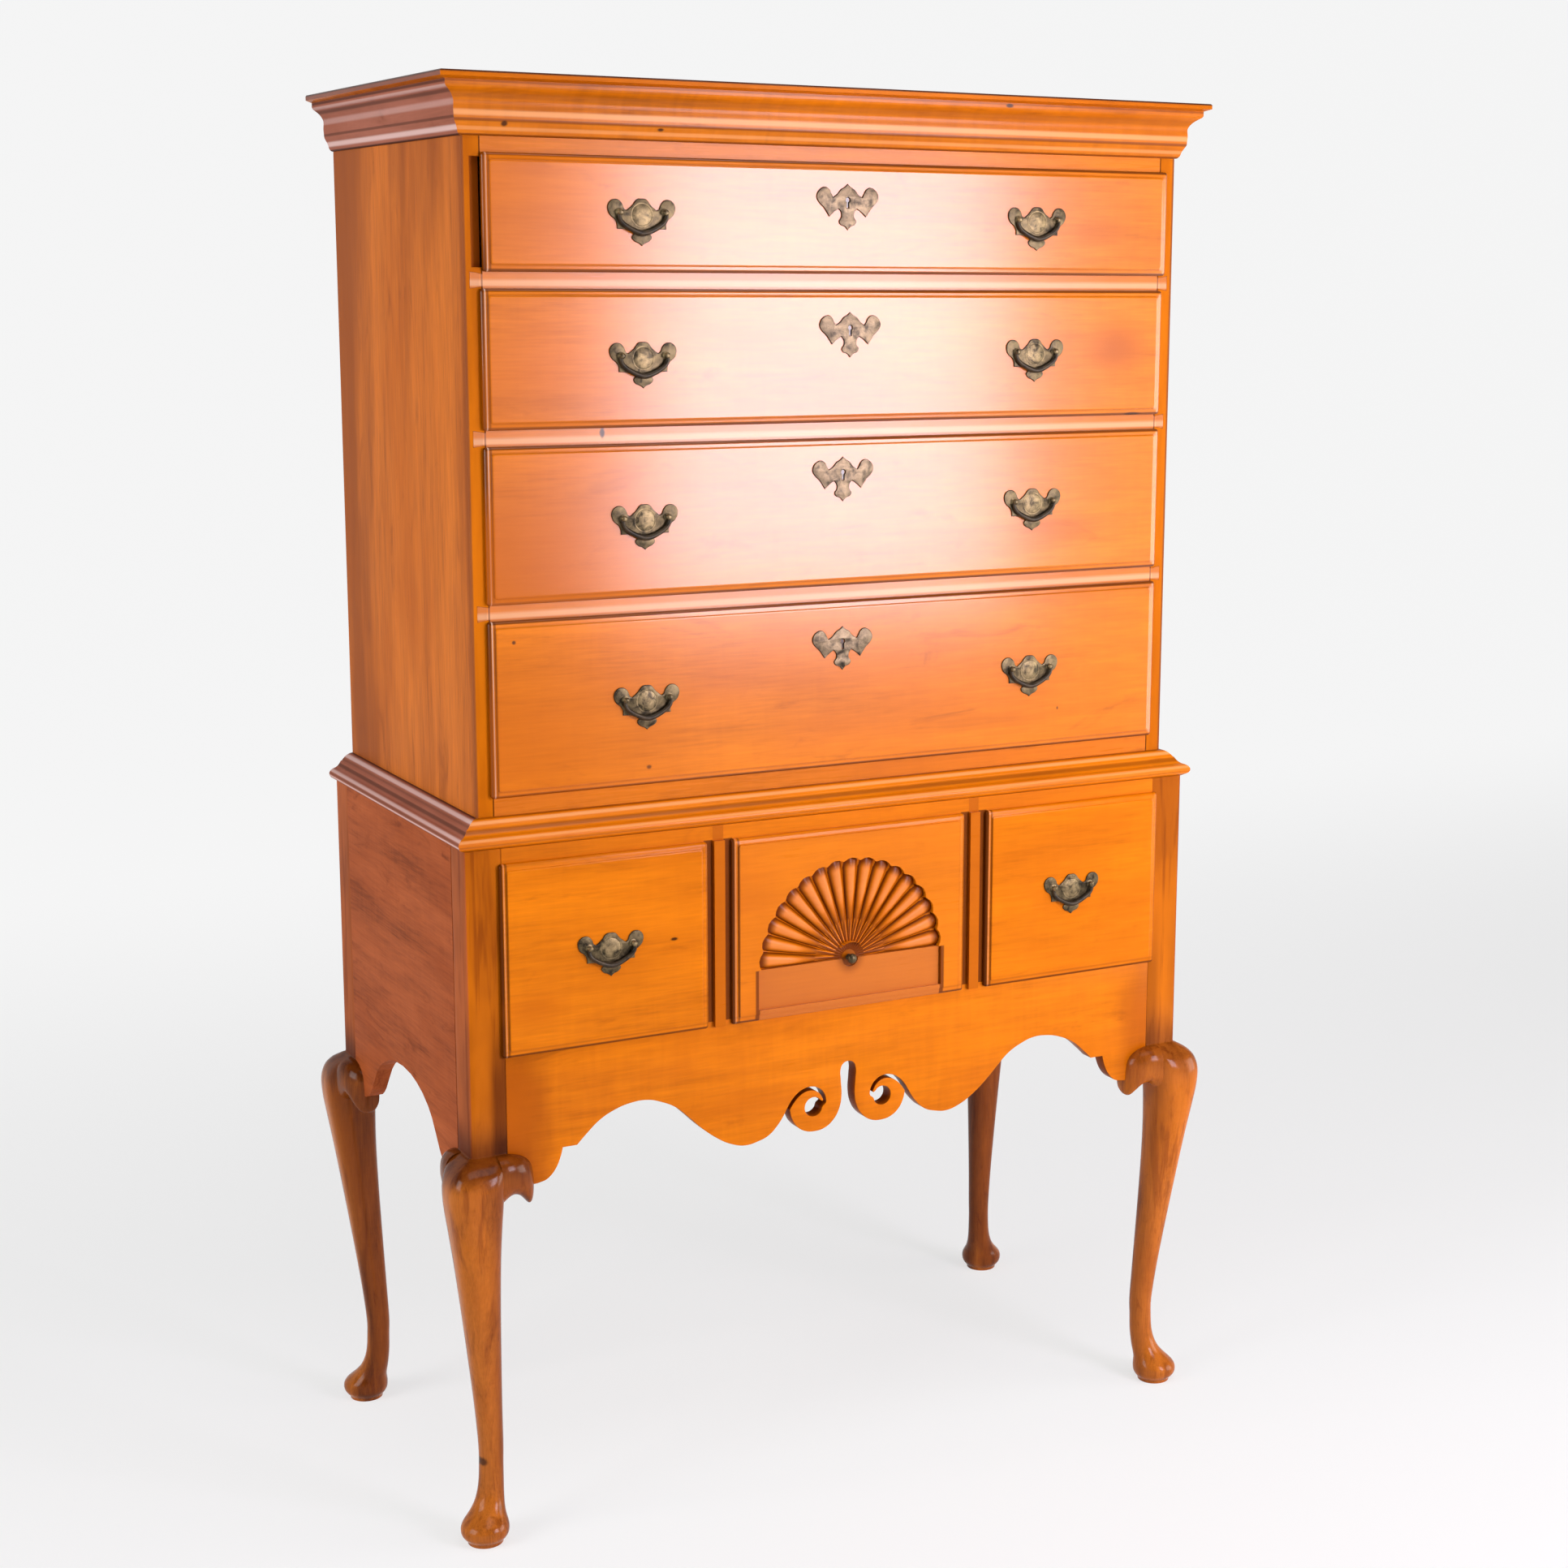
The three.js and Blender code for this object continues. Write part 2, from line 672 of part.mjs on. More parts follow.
const corniceSection = corniceShares.map(([out, up]) => [
  out * corniceProjection, out * corniceProjection, upperTop + (up - 1) * corniceHeight,
]);
addNode('cornice_moulding', solidOf(led(corniceSection, upperWidth, upperFront)), 'front');

// Top board, thin at the edge

function topRing(out, z) {
  const x = upperWidth / 2 + out;
  const front = upperFront - out;
  return [[-x, front, z], [x, front, z], [x, backPlane, z], [-x, backPlane, z]];
}
addNode('top_board', solidOf(loft([
  topRing(corniceProjection, upperTop),
  topRing(topBoardOverhang, upperTop + topBoardThick - topBoardEdge),
  topRing(topBoardOverhang, upperTop + topBoardThick),
])), 'side');

// Sides of the upper case, with runners inside and sockets for the dividers' ends

// A divider's dovetailed end seen from the front: side is -1 or 1, grown by a clearance
function dovetail(side, middle, grown) {
  const root = side * (upperInner - overrun);
  const tip = side * (upperInner + dovetailDepth + grown);
  const neck = dovetailNeck / 2 + grown;
  const tail = dovetailTail / 2 + grown;
  return [[root, middle - neck], [tip, middle - tail], [tip, middle + tail], [root, middle + neck]];
}

const railMiddles = upperOpenings.slice(0, -1).map(
  (opening, i) => (opening.bottom + upperOpenings[i + 1].top) / 2);

for (const [name, side] of [['left', -1], ['right', 1]]) {
  const outer = side * upperWidth / 2;
  const inner = side * upperInner;
  const runnerIn = side * (upperInner - runnerWidth);
  const board = block(
    Math.min(outer, inner), Math.max(outer, inner), upperFront, backPlane, lowerTop, upperTop);
  const runners = upperOpenings.map((opening) => block(
    Math.min(runnerIn, inner + side * overrun), Math.max(runnerIn, inner + side * overrun),
    upperFront + bladeDepth, upperBackFront, opening.bottom - runnerHeight, opening.bottom));
  const sockets = railMiddles.map((middle) => frontBoard(
    dovetail(side, middle, fit), upperFront - overrun, upperFront + bladeDepth + fit));
  const rebate = block(
    inner + side * rebateWidth, inner - side * overrun, upperFront - overrun,
    upperFront + rebateDepth, upperOpenings[0].bottom, upperOpenings[0].top);
  const cuts = side < 0 ? [...sockets, rebate] : sockets;
  addNode(`upper_${name}_side`, cut(joined([board, ...runners]), cuts), 'side');
}

addNode('upper_back', joined([
  block(-upperInner, upperInner, upperBackFront, backPlane, lowerTop, upperTop),
]), 'inside');

// Bottom board with its front rail, top rail and drawer dividers

const railBack = upperFront + upperRailThick;
addNode('bottom_board', joined([
  block(-upperInner, upperInner, upperFront, upperBackFront, lowerTop,
    lowerTop + bottomBoardThick),
  block(-upperInner, upperInner, upperFront, railBack, lowerTop, upperOpenings[3].bottom),
]), 'front');
addNode('top_rail', joined([
  block(-upperInner, upperInner, upperFront, railBack, upperOpenings[0].top, upperTop),
]), 'front');
railMiddles.forEach((middle, i) => {
  const blade = block(-upperInner, upperInner, upperFront, upperFront + bladeDepth,
    upperOpenings[i + 1].top, upperOpenings[i].bottom);
  const ends = [-1, 1].map((side) => frontBoard(
    dovetail(side, middle, 0), upperFront, upperFront + bladeDepth));
  addNode(`drawer_divider_${i + 1}`, joined([blade, ...ends]), 'front');
});

// Drawer fronts, boxes and brasses

// A rectangle with rounded corners at depth w, inset from the lip's outline
function lipRing(x0, x1, z0, z1, inset, w) {
  const round = lipEdge;
  const points = [];
  const turns = [[x1, z0, -0.5], [x1, z1, 0], [x0, z1, 0.5], [x0, z0, 1]];
  turns.forEach(([x, z, start]) => {
    const cx = x + (x === x1 ? -1 : 1) * (inset + round);
    const cz = z + (z === z1 ? -1 : 1) * (inset + round);
    for (let step = 0; step < 3; step += 1) {
      const angle = (start + step / 4) * Math.PI;
      points.push([cx + round * Math.cos(angle), cz + round * Math.sin(angle), w]);
    }
  });
  return points;
}

// Share of the rounded strip's width, share of its height, from the back of the lip
const lipShares = [[0, 0], [0, 0.4], [0.12, 0.7], [0.45, 0.92], [1, 1]];

function lippedFront(x0, x1, z0, z1) {
  const edgeTop = lipThick - fieldStep;
  const rings = lipShares.map(([inward, out]) => lipRing(
    x0, x1, z0, z1, inward * lipRound, fit + out * (edgeTop - fit)));
  rings.push(lipRing(x0, x1, z0, z1, fieldInset - fit, edgeTop));
  rings.push(lipRing(x0, x1, z0, z1, fieldInset, lipThick));
  return loft(rings);
}

// The hollow over a fan: lobes between a hub and a scalloped rim, and a plain sunk base
function fanHollow(z0) {
  const columns = fanLobes * stepsPerLobe + 1;
  const centre = z0 + fanCentreHeight;
  const high = lipThick + overrun;
  const floor = lipThick - fanRecess;
  const place = (out, j, w) => {
    const angle = (Math.PI * j) / (columns - 1);
    const phase = Math.abs(Math.sin((Math.PI * j) / stepsPerLobe));
    const rim = fanRadius - scallopDepth * (1 - phase);
    const radius = fanHubRadius + (rim - fanHubRadius) * out;
    return [radius * Math.cos(angle), centre + radius * Math.sin(angle), w];
  };
  const row = (out, heightAt) => Array.from(
    { length: columns }, (_, j) => place(out, j, heightAt(j)));
  const low = lobeShares.map(([out, crest]) => row(out, (j) => {
    const phase = Math.abs(Math.sin((Math.PI * j) / stepsPerLobe));
    return floor + fanValley + (fanCrest - fanValley) * crest * Math.sqrt(phase);
  }));
  const top = lobeShares.map(([out]) => row(out, () => high));
  const hub = Array.from({ length: 17 }, (_, i) => {
    const angle = (Math.PI * i) / 16;
    const reach = fanHubRadius + fit;
    return [reach * Math.cos(angle), centre - fit + reach * Math.sin(angle)];
  });
  const base = [
    [-fanRadius, z0 + fieldInset + fanBaseMargin], [fanRadius, z0 + fieldInset + fanBaseMargin],
    [fanRadius, centre + fit], [-fanRadius, centre + fit],
  ];
  return union([
    solidOf(slab(low, top)),
    solidOf(outlined(hub, high - floor).translate(0, 0, floor)),
    solidOf(outlined(base, high - lipThick + fanBaseDepth).translate(0, 0, lipThick - fanBaseDepth)),
    solidOf(outlined(circle(0, centre, knobRecess, 20), high - floor).translate(0, 0, floor)),
  ]);
}

// Everything that one drawer needs, in the case's own places
function drawerSet(drawer) {
  const { name, face, opening, plane, rear, play, shift, pulls, pullShare } = drawer;
  const boxX0 = opening.x0 + play + shift;
  const boxX1 = opening.x1 - play + shift;
  const boxZ0 = opening.bottom + fit;
  const boxZ1 = opening.top - drawerHeadroom;
  const boardBack = plane + frontBody;
  const skinPlane = plane - lipThick;
  const place = new THREE.Matrix4().copy(frontBasis).setPosition(0, plane, 0);
  const lip = solidOf(lippedFront(face.x0, face.x1, face.bottom, face.top), place);
  const tongue = solidOf(block(boxX0, boxX1, plane - fit - overrun, boardBack, boxZ0, boxZ1));
  const height = face.top - face.bottom;
  const pivot = face.bottom + height * pullShare + plateHeight / 2 - pivotDrop;
  const holes = pulls.flatMap((centre) => [-1, 1].map((side) => bar(
    centre + side * postSpacing / 2, pivot, shankRadius + fit, skinPlane - overrun,
    boardBack + overrun)));
  let board = lip.add(tongue);
  if (drawer.fan) {
    const centre = face.bottom + fanCentreHeight;
    board = board.subtract(fanHollow(face.bottom).transform(place.elements));
    holes.push(bar(0, centre, shankRadius + fit, skinPlane - overrun, boardBack + overrun));
    addNode('fan_knob', knobSolid(skinPlane + fanRecess, centre, boardBack), 'brass');
  }
  if (drawer.lockShare) {
    const top = face.bottom + height * drawer.lockShare + escutcheonHeight / 2;
    const centre = face.x0 + (face.x1 - face.x0) / 2 + drawer.lockShift;
    holes.push(frontBoard(keyhole(centre, top, fit), skinPlane - overrun, boardBack + overrun));
    addNode(`${name}_escutcheon`, escutcheonSolid(centre, top, skinPlane), 'brass');
  }
  addNode(`${name}_front`, cut(board, holes), 'front');
  addNode(`${name}_box`, boxSolid(boxX0, boxX1, boardBack, rear, boxZ0, boxZ1), 'inside');
  pulls.forEach((centre, i) => {
    const label = pulls.length > 1 ? `${name}_${i ? 'right' : 'left'}` : name;
    addNode(`${label}_plate`, plateSolid(centre, pivot, skinPlane, boardBack), 'brass');
    addNode(`${label}_bail`, bailSolid(centre, pivot, skinPlane), 'brass');
  });
}

function boxSolid(x0, x1, y0, y1, z0, z1) {
  const floor = z0 + drawerBottomLift + drawerBottomThick;
  return cut(joined([block(x0, x1, y0, y1, z0, z1)]), [
    block(x0 + drawerWall, x1 - drawerWall, y0 - overrun, y1 - drawerWall, floor, z1 + overrun),
    block(x0 + drawerWall, x1 - drawerWall, y0 - overrun, y1 + overrun, z0 - overrun,
      z0 + drawerBottomLift),
  ]);
}

function keyhole(centre, top, grown) {
  const z = top - keyholeShare * escutcheonHeight;
  const half = keyholeSlotWidth / 2 + grown;
  const round = circle(centre, z, keyholeRadius + grown, 12);
  const upper = round.slice(0, 7);
  return [
    ...upper, [centre - half, z - keyholeRadius], [centre - half, z - keyholeSlot - grown],
    [centre + half, z - keyholeSlot - grown], [centre + half, z - keyholeRadius],
  ];
}

function shaped(shares, centre, top, width, height) {
  return mirrored(shares.map(([u, v]) => [u * width / 2, -v * height])).map(
    ([u, v]) => [centre + u, top + v]);
}

function escutcheonSolid(centre, top, plane) {
  const outline = shaped(escutcheonShares, centre, top, escutcheonWidth, escutcheonHeight);
  const plate = joined([frontBoard(outline, plane - escutcheonThick, plane)]);
  return cut(plate, [
    frontBoard(keyhole(centre, top, 0), plane - escutcheonThick - overrun, plane + overrun),
    ...nailHoleShares.map(([u, v]) => bar(
      centre + u * escutcheonWidth / 2, top - v * escutcheonHeight, nailHoleRadius,
      plane - escutcheonThick - overrun, plane + overrun, 8)),
  ]);
}

function plateSolid(centre, pivot, plane, boardBack) {
  const outline = shaped(plateShares, centre, pivot + pivotDrop, plateWidth, plateHeight);
  const posts = [-1, 1].flatMap((side) => {
    const x = centre + side * postSpacing / 2;
    return [
      bar(x, pivot, postRadius, plane - postLength, plane - plateThick / 2),
      bar(x, pivot, shankRadius, plane - plateThick / 2, boardBack + shankProud),
    ];
  });
  const reach = postSpacing / 2 + postRadius + overrun;
  const holes = [-1, 1].map((side) => sideBoard(
    circle(plane - pivotProud, pivot, pinRadius + pinClearance, 10),
    centre + Math.min(side * reach, side * (reach - 2 * (postRadius + overrun))),
    centre + Math.max(side * reach, side * (reach - 2 * (postRadius + overrun)))));
  return cut(joined([frontBoard(outline, plane - plateThick, plane), ...posts]), holes);
}

// A bail hangs from its two pins, straight down under its own weight
function bailSolid(centre, pivot, plane) {
  const y = plane - pivotProud;
  const half = bailShares.map(([u, v]) => [u * postSpacing / 2, pivot - v * bailDrop]);
  const path = [...half, ...half.slice(0, -1).reverse().map(([u, v]) => [-u, v])];
  const curve = new THREE.CatmullRomCurve3(
    path.map(([u, v]) => new THREE.Vector3(centre + u, y, v)));
  const section = new THREE.Shape(
    circle(0, 0, bailRadius, 8).map(([u, v]) => new THREE.Vector2(u, v)));
  const bow = new THREE.ExtrudeGeometry(section, { steps: 16, extrudePath: curve });
  const pins = [-1, 1].map((side) => {
    const outer = centre + side * pinStartShare * postSpacing / 2;
    const inner = centre + side * pinEndShare * postSpacing / 2;
    return sideBoard(
      circle(y, pivot, pinRadius, 8), Math.min(outer, inner), Math.max(outer, inner));
  });
  return joined([bow, ...pins]);
}

function knobSolid(base, centre, boardBack) {
  const profile = knobShares.map(([radius, out]) => new THREE.Vector2(
    radius * knobRadius, out * knobLength));
  const head = new THREE.LatheGeometry(profile, 16).rotateX(Math.PI);
  head.translate(0, base, centre);
  return joined([head, bar(0, centre, shankRadius, base - overrun, boardBack + shankProud)]);
}

const lowerFace = { bottom: lowerFaceBottom, top: lowerFaceTop };
const lowerOpening = { bottom: lowerOpeningBottom, top: lowerOpeningTop };
const dividerOut = dividerCentre + dividerWidth / 2;
const dividerIn = dividerCentre - dividerWidth / 2;
const lowerPullCentre = (dividerOut + lowerInner) / 2 - lowerPullInset;

upperFaces.forEach((face, i) => {
  const shift = i ? 0 : topDrawerShift;
  drawerSet({
    name: `upper_drawer_${i + 1}`,
    face: { ...face, x0: -upperInner - upperLipOver + shift, x1: upperInner + upperLipOver + shift },
    opening: { ...upperOpenings[i], x0: -upperInner, x1: upperInner },
    plane: upperFront,
    rear: upperBackFront - drawerBackGap,
    play: i ? drawerPlay : topDrawerPlay,
    shift,
    pulls: [-upperPullCentre, upperPullCentre],
    pullShare: pullHeightShares[i],
    lockShare: escutcheonHeightShares[i],
    lockShift: lockShifts[i],
  });
});
for (const [name, x0, x1, pull] of [
  ['lower_left_drawer', -lowerInner, -dividerOut, -lowerPullCentre],
  ['lower_centre_drawer', -dividerIn, dividerIn, null],
  ['lower_right_drawer', dividerOut, lowerInner, lowerPullCentre],
]) {
  drawerSet({
    name,
    face: { ...lowerFace, x0: x0 - lowerLipSide, x1: x1 + lowerLipSide },
    opening: { ...lowerOpening, x0, x1 },
    plane: lowerFront,
    rear: battenFront,
    play: drawerPlay,
    shift: 0,
    pulls: pull === null ? [] : [pull],
    pullShare: lowerPullHeightShare,
    fan: pull === null,
  });
}

export default highboy;
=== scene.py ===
import math

import bmesh
import bpy
from mathutils import Matrix, Vector


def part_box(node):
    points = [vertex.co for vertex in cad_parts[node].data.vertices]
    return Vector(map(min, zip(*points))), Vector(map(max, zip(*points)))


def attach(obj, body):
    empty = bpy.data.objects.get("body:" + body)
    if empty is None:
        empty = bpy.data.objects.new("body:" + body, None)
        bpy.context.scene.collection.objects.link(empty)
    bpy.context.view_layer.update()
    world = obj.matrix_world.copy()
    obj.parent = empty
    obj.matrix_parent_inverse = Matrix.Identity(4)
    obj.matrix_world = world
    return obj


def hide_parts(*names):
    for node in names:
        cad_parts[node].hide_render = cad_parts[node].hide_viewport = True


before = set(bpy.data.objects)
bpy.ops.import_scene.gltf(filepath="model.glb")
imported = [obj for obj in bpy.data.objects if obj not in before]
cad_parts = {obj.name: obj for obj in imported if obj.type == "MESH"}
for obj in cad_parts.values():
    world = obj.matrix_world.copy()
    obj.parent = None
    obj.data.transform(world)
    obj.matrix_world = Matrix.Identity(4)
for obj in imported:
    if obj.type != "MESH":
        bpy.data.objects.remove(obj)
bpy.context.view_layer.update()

bl_info = {
    "name": "Maple highboy",
    "version": (1, 0, 0),
    "blender": (4, 5, 0),
    "location": "3D View > Sidebar > Highboy",
    "description": "Builds the visible wood, carving and brasses of a highboy on its solids",
    "category": "Object",
}

MM = 0.001
UPPER = ["upper_drawer_%d" % i for i in (1, 2, 3, 4)]
LOWER = ["lower_left_drawer", "lower_centre_drawer", "lower_right_drawer"]
LEGS = ["leg_%s_%s" % (end, side) for end in ("front", "back") for side in ("left", "right")]

# Main measures of the case, in millimetres: widths, planes of the fronts and the back, the
# centre and width of a corner post, and the heights where a post starts and the lower case ends
UPPER_WIDTH, LOWER_WIDTH = 954.0, 1000.0
UPPER_FACE, LOWER_FACE, REAR = -222.0, -241.0, 241.0
POST_X, POST_Y, POST_WIDTH = 477.5, 218.5, 45.0
POST_FOOT, WAIST = 489.0, 866.0
# The gap between a drawer front's lip and the case
LIP_GAP = 0.3
# Just in front of and behind the upper case's front plane, in metres, for paint that stays on it
UPPER_SKIN = (-0.2215, -0.2205)
# How close two points have to be to become one, and the depth of the finest bumps, in metres
WELD = 1e-6
BUMP_DEPTH = 0.0006


# Sizes and colours that a user would change


def length(name, description, millimetres):
    return bpy.props.FloatProperty(
        name=name, description=description, default=millimetres * MM, min=0.0, unit="LENGTH")


def colour(name, description, value):
    return bpy.props.FloatVectorProperty(
        name=name, description=description, default=value, size=3, min=0.0, max=1.0,
        subtype="COLOR")


def srgb(code):
    """A linear colour from a six-figure hexadecimal code."""
    parts = [int(code[i:i + 2], 16) / 255 for i in (0, 2, 4)]
    return tuple(p / 12.92 if p <= 0.04045 else ((p + 0.055) / 1.055) ** 2.4 for p in parts)


class HighboySizes(bpy.types.PropertyGroup):
    lip_width: length("Lip width", "Width of the rounded lip round a drawer front", 7.5)
    field_step: length("Field step", "Height of the small step inside the lip", 1.5)
    fan_depth: length("Fan depth", "Depth of the fan's hollow behind the drawer's face", 8.5)
    fan_crest: length("Fan crest", "Height of a lobe over the hollow's floor", 6.4)
    plate_edge: length("Plate edge", "Bevel round the brass plates", 1.0)
    bail_width: length("Bail thickness", "Thickness of a bail at the middle of its bow", 5.6)


class HighboyColours(bpy.types.PropertyGroup):
    front: colour("Fronts", "Honey maple of the drawer fronts", srgb("D47304"))
    side: colour("Sides", "Browner maple of the case's sides", srgb("CC6E22"))
    low_side: colour("Lower sides", "Redder maple of the lower case's sides", srgb("A8552C"))
    # The returns' mauve is partly the maple's colour and partly a painted sheen
    moulding: colour("Moulding returns", "Mauve brown of the mouldings' side lengths",
                     srgb("A0604C"))
    leg: colour("Legs", "Dark maple of the legs", srgb("B4641F"))
    inside: colour("Inside", "Bare pine of the drawer boxes and backs", srgb("C7A06C"))
    brass: colour("Brass", "Aged brass of the pulls", srgb("6A5B40"))
    backdrop: colour("Backdrop", "Floor and backdrop", srgb("F9F9F9"))


# Shader maths as plain expressions


def operation(kind, turned=False):
    """A method that adds a Math node; turned puts the other number first."""
    def method(self, other):
        return self.math(kind, *((other, self) if turned else (self, other)))

    return method


class Value:
    """A shader socket that takes part in sums: each operator adds its Math node."""

    def __init__(self, finish, socket):
        self.finish = finish
        self.socket = socket

    def math(self, kind, *values):
        return self.finish.node(
            "ShaderNodeMath", {"operation": kind}, {i: v for i, v in enumerate(values)})

    __add__, __radd__ = operation("ADD"), operation("ADD", True)
    __sub__, __rsub__ = operation("SUBTRACT"), operation("SUBTRACT", True)
    __mul__, __truediv__ = operation("MULTIPLY"), operation("DIVIDE")
    __pow__ = operation("POWER")
    least, most = operation("MINIMUM"), operation("MAXIMUM")

    def size(self):
        return self.math("ABSOLUTE", self)

    def step(self, low, high):
        """0 below low, 1 above high, and a soft rise between them."""
        return self.finish.node(
            "ShaderNodeMapRange", {"interpolation_type": "SMOOTHSTEP"},
            {"Value": self, "From Min": low, "From Max": high, "To Min": 0.0, "To Max": 1.0})

    def fade(self, low, high):
        """1 below low, 0 above high, and a soft fall between them."""
        return 1.0 - self.step(low, high)

    def band(self, low, full, fall, high):
        """1 between full and fall, and 0 below low and above high."""
        return self.step(low, full) * self.fade(fall, high)


class Finish:
    """One procedural material while it is being made; paint is its colour so far."""

    def __init__(self, name):
        self.material = bpy.data.materials.new(name)
        self.material.use_nodes = True
        self.tree = self.material.node_tree
        self.tree.nodes.clear()
        self.shader = self.tree.nodes.new("ShaderNodeBsdfPrincipled")
        self.output = self.tree.nodes.new("ShaderNodeOutputMaterial")
        self.tree.links.new(self.shader.outputs[0], self.output.inputs[0])
        self.place = self.node("ShaderNodeTexCoord", output="Object")
        self.paint = None

    def node(self, kind, settings=None, sockets=None, output=0):
        """A node of this type with its settings made first, then its sockets filled."""
        made = self.tree.nodes.new(kind)
        for key, value in (settings or {}).items():
            setattr(made, key, value)
        for key, value in (sockets or {}).items():
            self.fill(made.inputs[key], value)
        return Value(self, made.outputs[output])

    def fill(self, socket, value):
        """Links a value to a socket, or sets the socket to a number or a colour."""
        if isinstance(value, Value):
            self.tree.links.new(value.socket, socket)
        elif socket.type == "RGBA" and len(value) == 3:
            socket.default_value = (*value, 1.0)
        else:
            socket.default_value = value

    def stretched(self, scale, shift=(0.0, 0.0, 0.0)):
        """The object's own coordinates, scaled and shifted."""
        return self.node(
            "ShaderNodeMapping", {"vector_type": "POINT"},
            {"Vector": self.place, "Scale": scale, "Location": shift})

    def noise(self, vector, scale, detail, roughness, distortion=0.0):
        return self.node("ShaderNodeTexNoise", {}, {
            "Vector": vector, "Scale": scale, "Detail": detail, "Roughness": roughness,
            "Distortion": distortion})

    def streaks(self, scale, detail=3.0, roughness=0.5, distortion=0.0, shift=(0.0, 0.0, 0.0)):
        """Noise that is stretched by its scale along each axis."""
        return self.noise(self.stretched(scale, shift), 1.0, detail, roughness, distortion)

    def ramp(self, value, stops):
        """A colour that follows the value through stops of (position, colour)."""
        made = self.node("ShaderNodeValToRGB", {}, {"Fac": value})
        elements = made.socket.node.color_ramp.elements
        while len(elements) < len(stops):
            elements.new(0.5)
        for element, (position, shade) in zip(elements, stops):
            element.position = position
            element.color = (*shade, 1.0)
        return made

    def mix(self, share, first, second, blend="MIX"):
        return self.node(
            "ShaderNodeMix", {"data_type": "RGBA", "blend_type": blend},
            {"Factor": share, 6: first, 7: second}, output=2)

    def over(self, share, colour, blend="MIX"):
        """Lays a colour, or another paint, over the paint so far."""
        self.paint = self.mix(share, self.paint, colour, blend)

    def darken(self, share, colour):
        """Darkens the paint so far, and lets its figure show."""
        self.over(share, colour, "MULTIPLY")

    def axes(self):
        """The point's x, y and z on the object, in metres."""
        split = self.tree.nodes.new("ShaderNodeSeparateXYZ")
        self.tree.links.new(self.place.socket, split.inputs[0])
        return [Value(self, split.outputs[i]) for i in range(3)]

    def bump(self, height, strength):
        return self.node("ShaderNodeBump", {}, {
            "Height": height, "Strength": strength, "Distance": BUMP_DEPTH}, output="Normal")

    def close(self, **sockets):
        """Fills the shader's named sockets, and gives the finished material."""
        for key, value in sockets.items():
            self.fill(self.shader.inputs[key.replace("_", " ")], value)
        return self.material


def tinted(base, factor, warm=0.0):
    """A colour made darker or lighter, and redder by warm."""
    r, g, b = base
    return (min(1.0, r * factor * (1 + warm)), min(1.0, g * factor),
            min(1.0, b * factor * (1 - warm)))


def front_tint(factor, warm=0.0):
    """The drawer fronts' maple, made darker or lighter."""
    return tinted(colours().front, factor, warm)


# How much faster the figure changes along each axis, by the direction of the grain
GRAIN = {"x": (1.0, 16.0, 16.0), "y": (16.0, 1.0, 16.0), "z": (16.0, 16.0, 1.0)}
# The figure's layers: how fine along and across the grain, then the noise's own values
FIGURE = [
    (1.8, 15.0, 1.1, 4.0, 0.55, 0.4), (5.0, 70.0, 1.0, 3.0, 0.6, 0.5),
    (18.0, 330.0, 1.0, 2.0, 0.6), (3.2, 7.0, 1.0, 4.0, 0.6, 0.3),
    (85.0, 12.0, 1.0, 2.0, 0.5, 0.6), (7.0, 26.0, 1.0, 4.0, 0.65, 0.8),
]


def from_spot(x, z, spot):
    """How far a point is from a spot's centre: 1 at its rim. A spot is (x, z, half width,
    half height)."""
    middle_x, middle_z, wide, high = spot
    return (((x - middle_x) / wide) ** 2.0 + ((z - middle_z) / high) ** 2.0) ** 0.5


def maple(name, base, grain="x", shift=(0.0, 0.0, 0.0), contrast=1.0, edge=None, spots=(),
          gloss=0.3, coat=0.1, shine=0.12, curl=0.07, fine=1.0, stains_and_shade=()):
    """Polished maple: soft streaks, short dashes of fibre, red clouds and a faint curl.

    edge paints more on the finish; spots and stains are (x, z, half width, half height, strength),
    and a stain can also be a wide painted shade.
    """
    finish = Finish(name)

    def grown(along, across):
        return finish.stretched(
            [fine * (along if s == 1.0 else across) for s in GRAIN[grain]], shift)

    streaks, lines, fibre, cloud, curled, smudge = (
        finish.noise(grown(along, across), *values) for along, across, *values in FIGURE)
    tone = (0.5 + (streaks - 0.5) * (0.55 * contrast) + (lines - 0.5) * (0.22 * contrast)
            + (fibre - 0.5) * (0.3 * contrast) + (curled - 0.5) * (curl * contrast))
    finish.paint = finish.ramp(tone, [
        (0.12, tinted(base, 0.5, 0.1)), (0.38, tinted(base, 0.86, 0.03)),
        (0.6, tinted(base, 1.06)), (0.88, tinted(base, 1.3, -0.04))])
    finish.over(cloud.step(0.42, 0.72) * 0.45, tinted(base, 0.66, 0.2))
    finish.over(smudge.step(0.56, 0.8) * (0.5 * contrast), tinted(base, 0.5, 0.15))
    if edge:
        edge(finish)
    x, _, z = finish.axes()
    for *spot, strength in spots:
        away = from_spot(x, z, spot) + (lines - 0.5) * 0.9
        finish.over(away.fade(0.4, 1.0) * strength, tinted(base, 0.05, 0.1))
    # Soft stains, and wide painted shade where it is given as a stain
    for *spot, strength in stains_and_shade:
        away = from_spot(x, z, spot) + (cloud - 0.5) * 1.2
        finish.over(away.fade(0.1, 1.0) * strength, tinted(base, 0.6, 0.2))
    gloss = gloss(finish) if callable(gloss) else gloss
    return finish.close(
        Base_Color=finish.paint, Coat_Weight=coat(finish) if callable(coat) else coat,
        Roughness=gloss + (fibre - 0.5) * 0.10 + (cloud - 0.5) * 0.10,
        Normal=finish.bump(fibre * 0.5 + lines * 0.5, 0.12), Coat_Roughness=0.17,
        Specular_IOR_Level=shine)


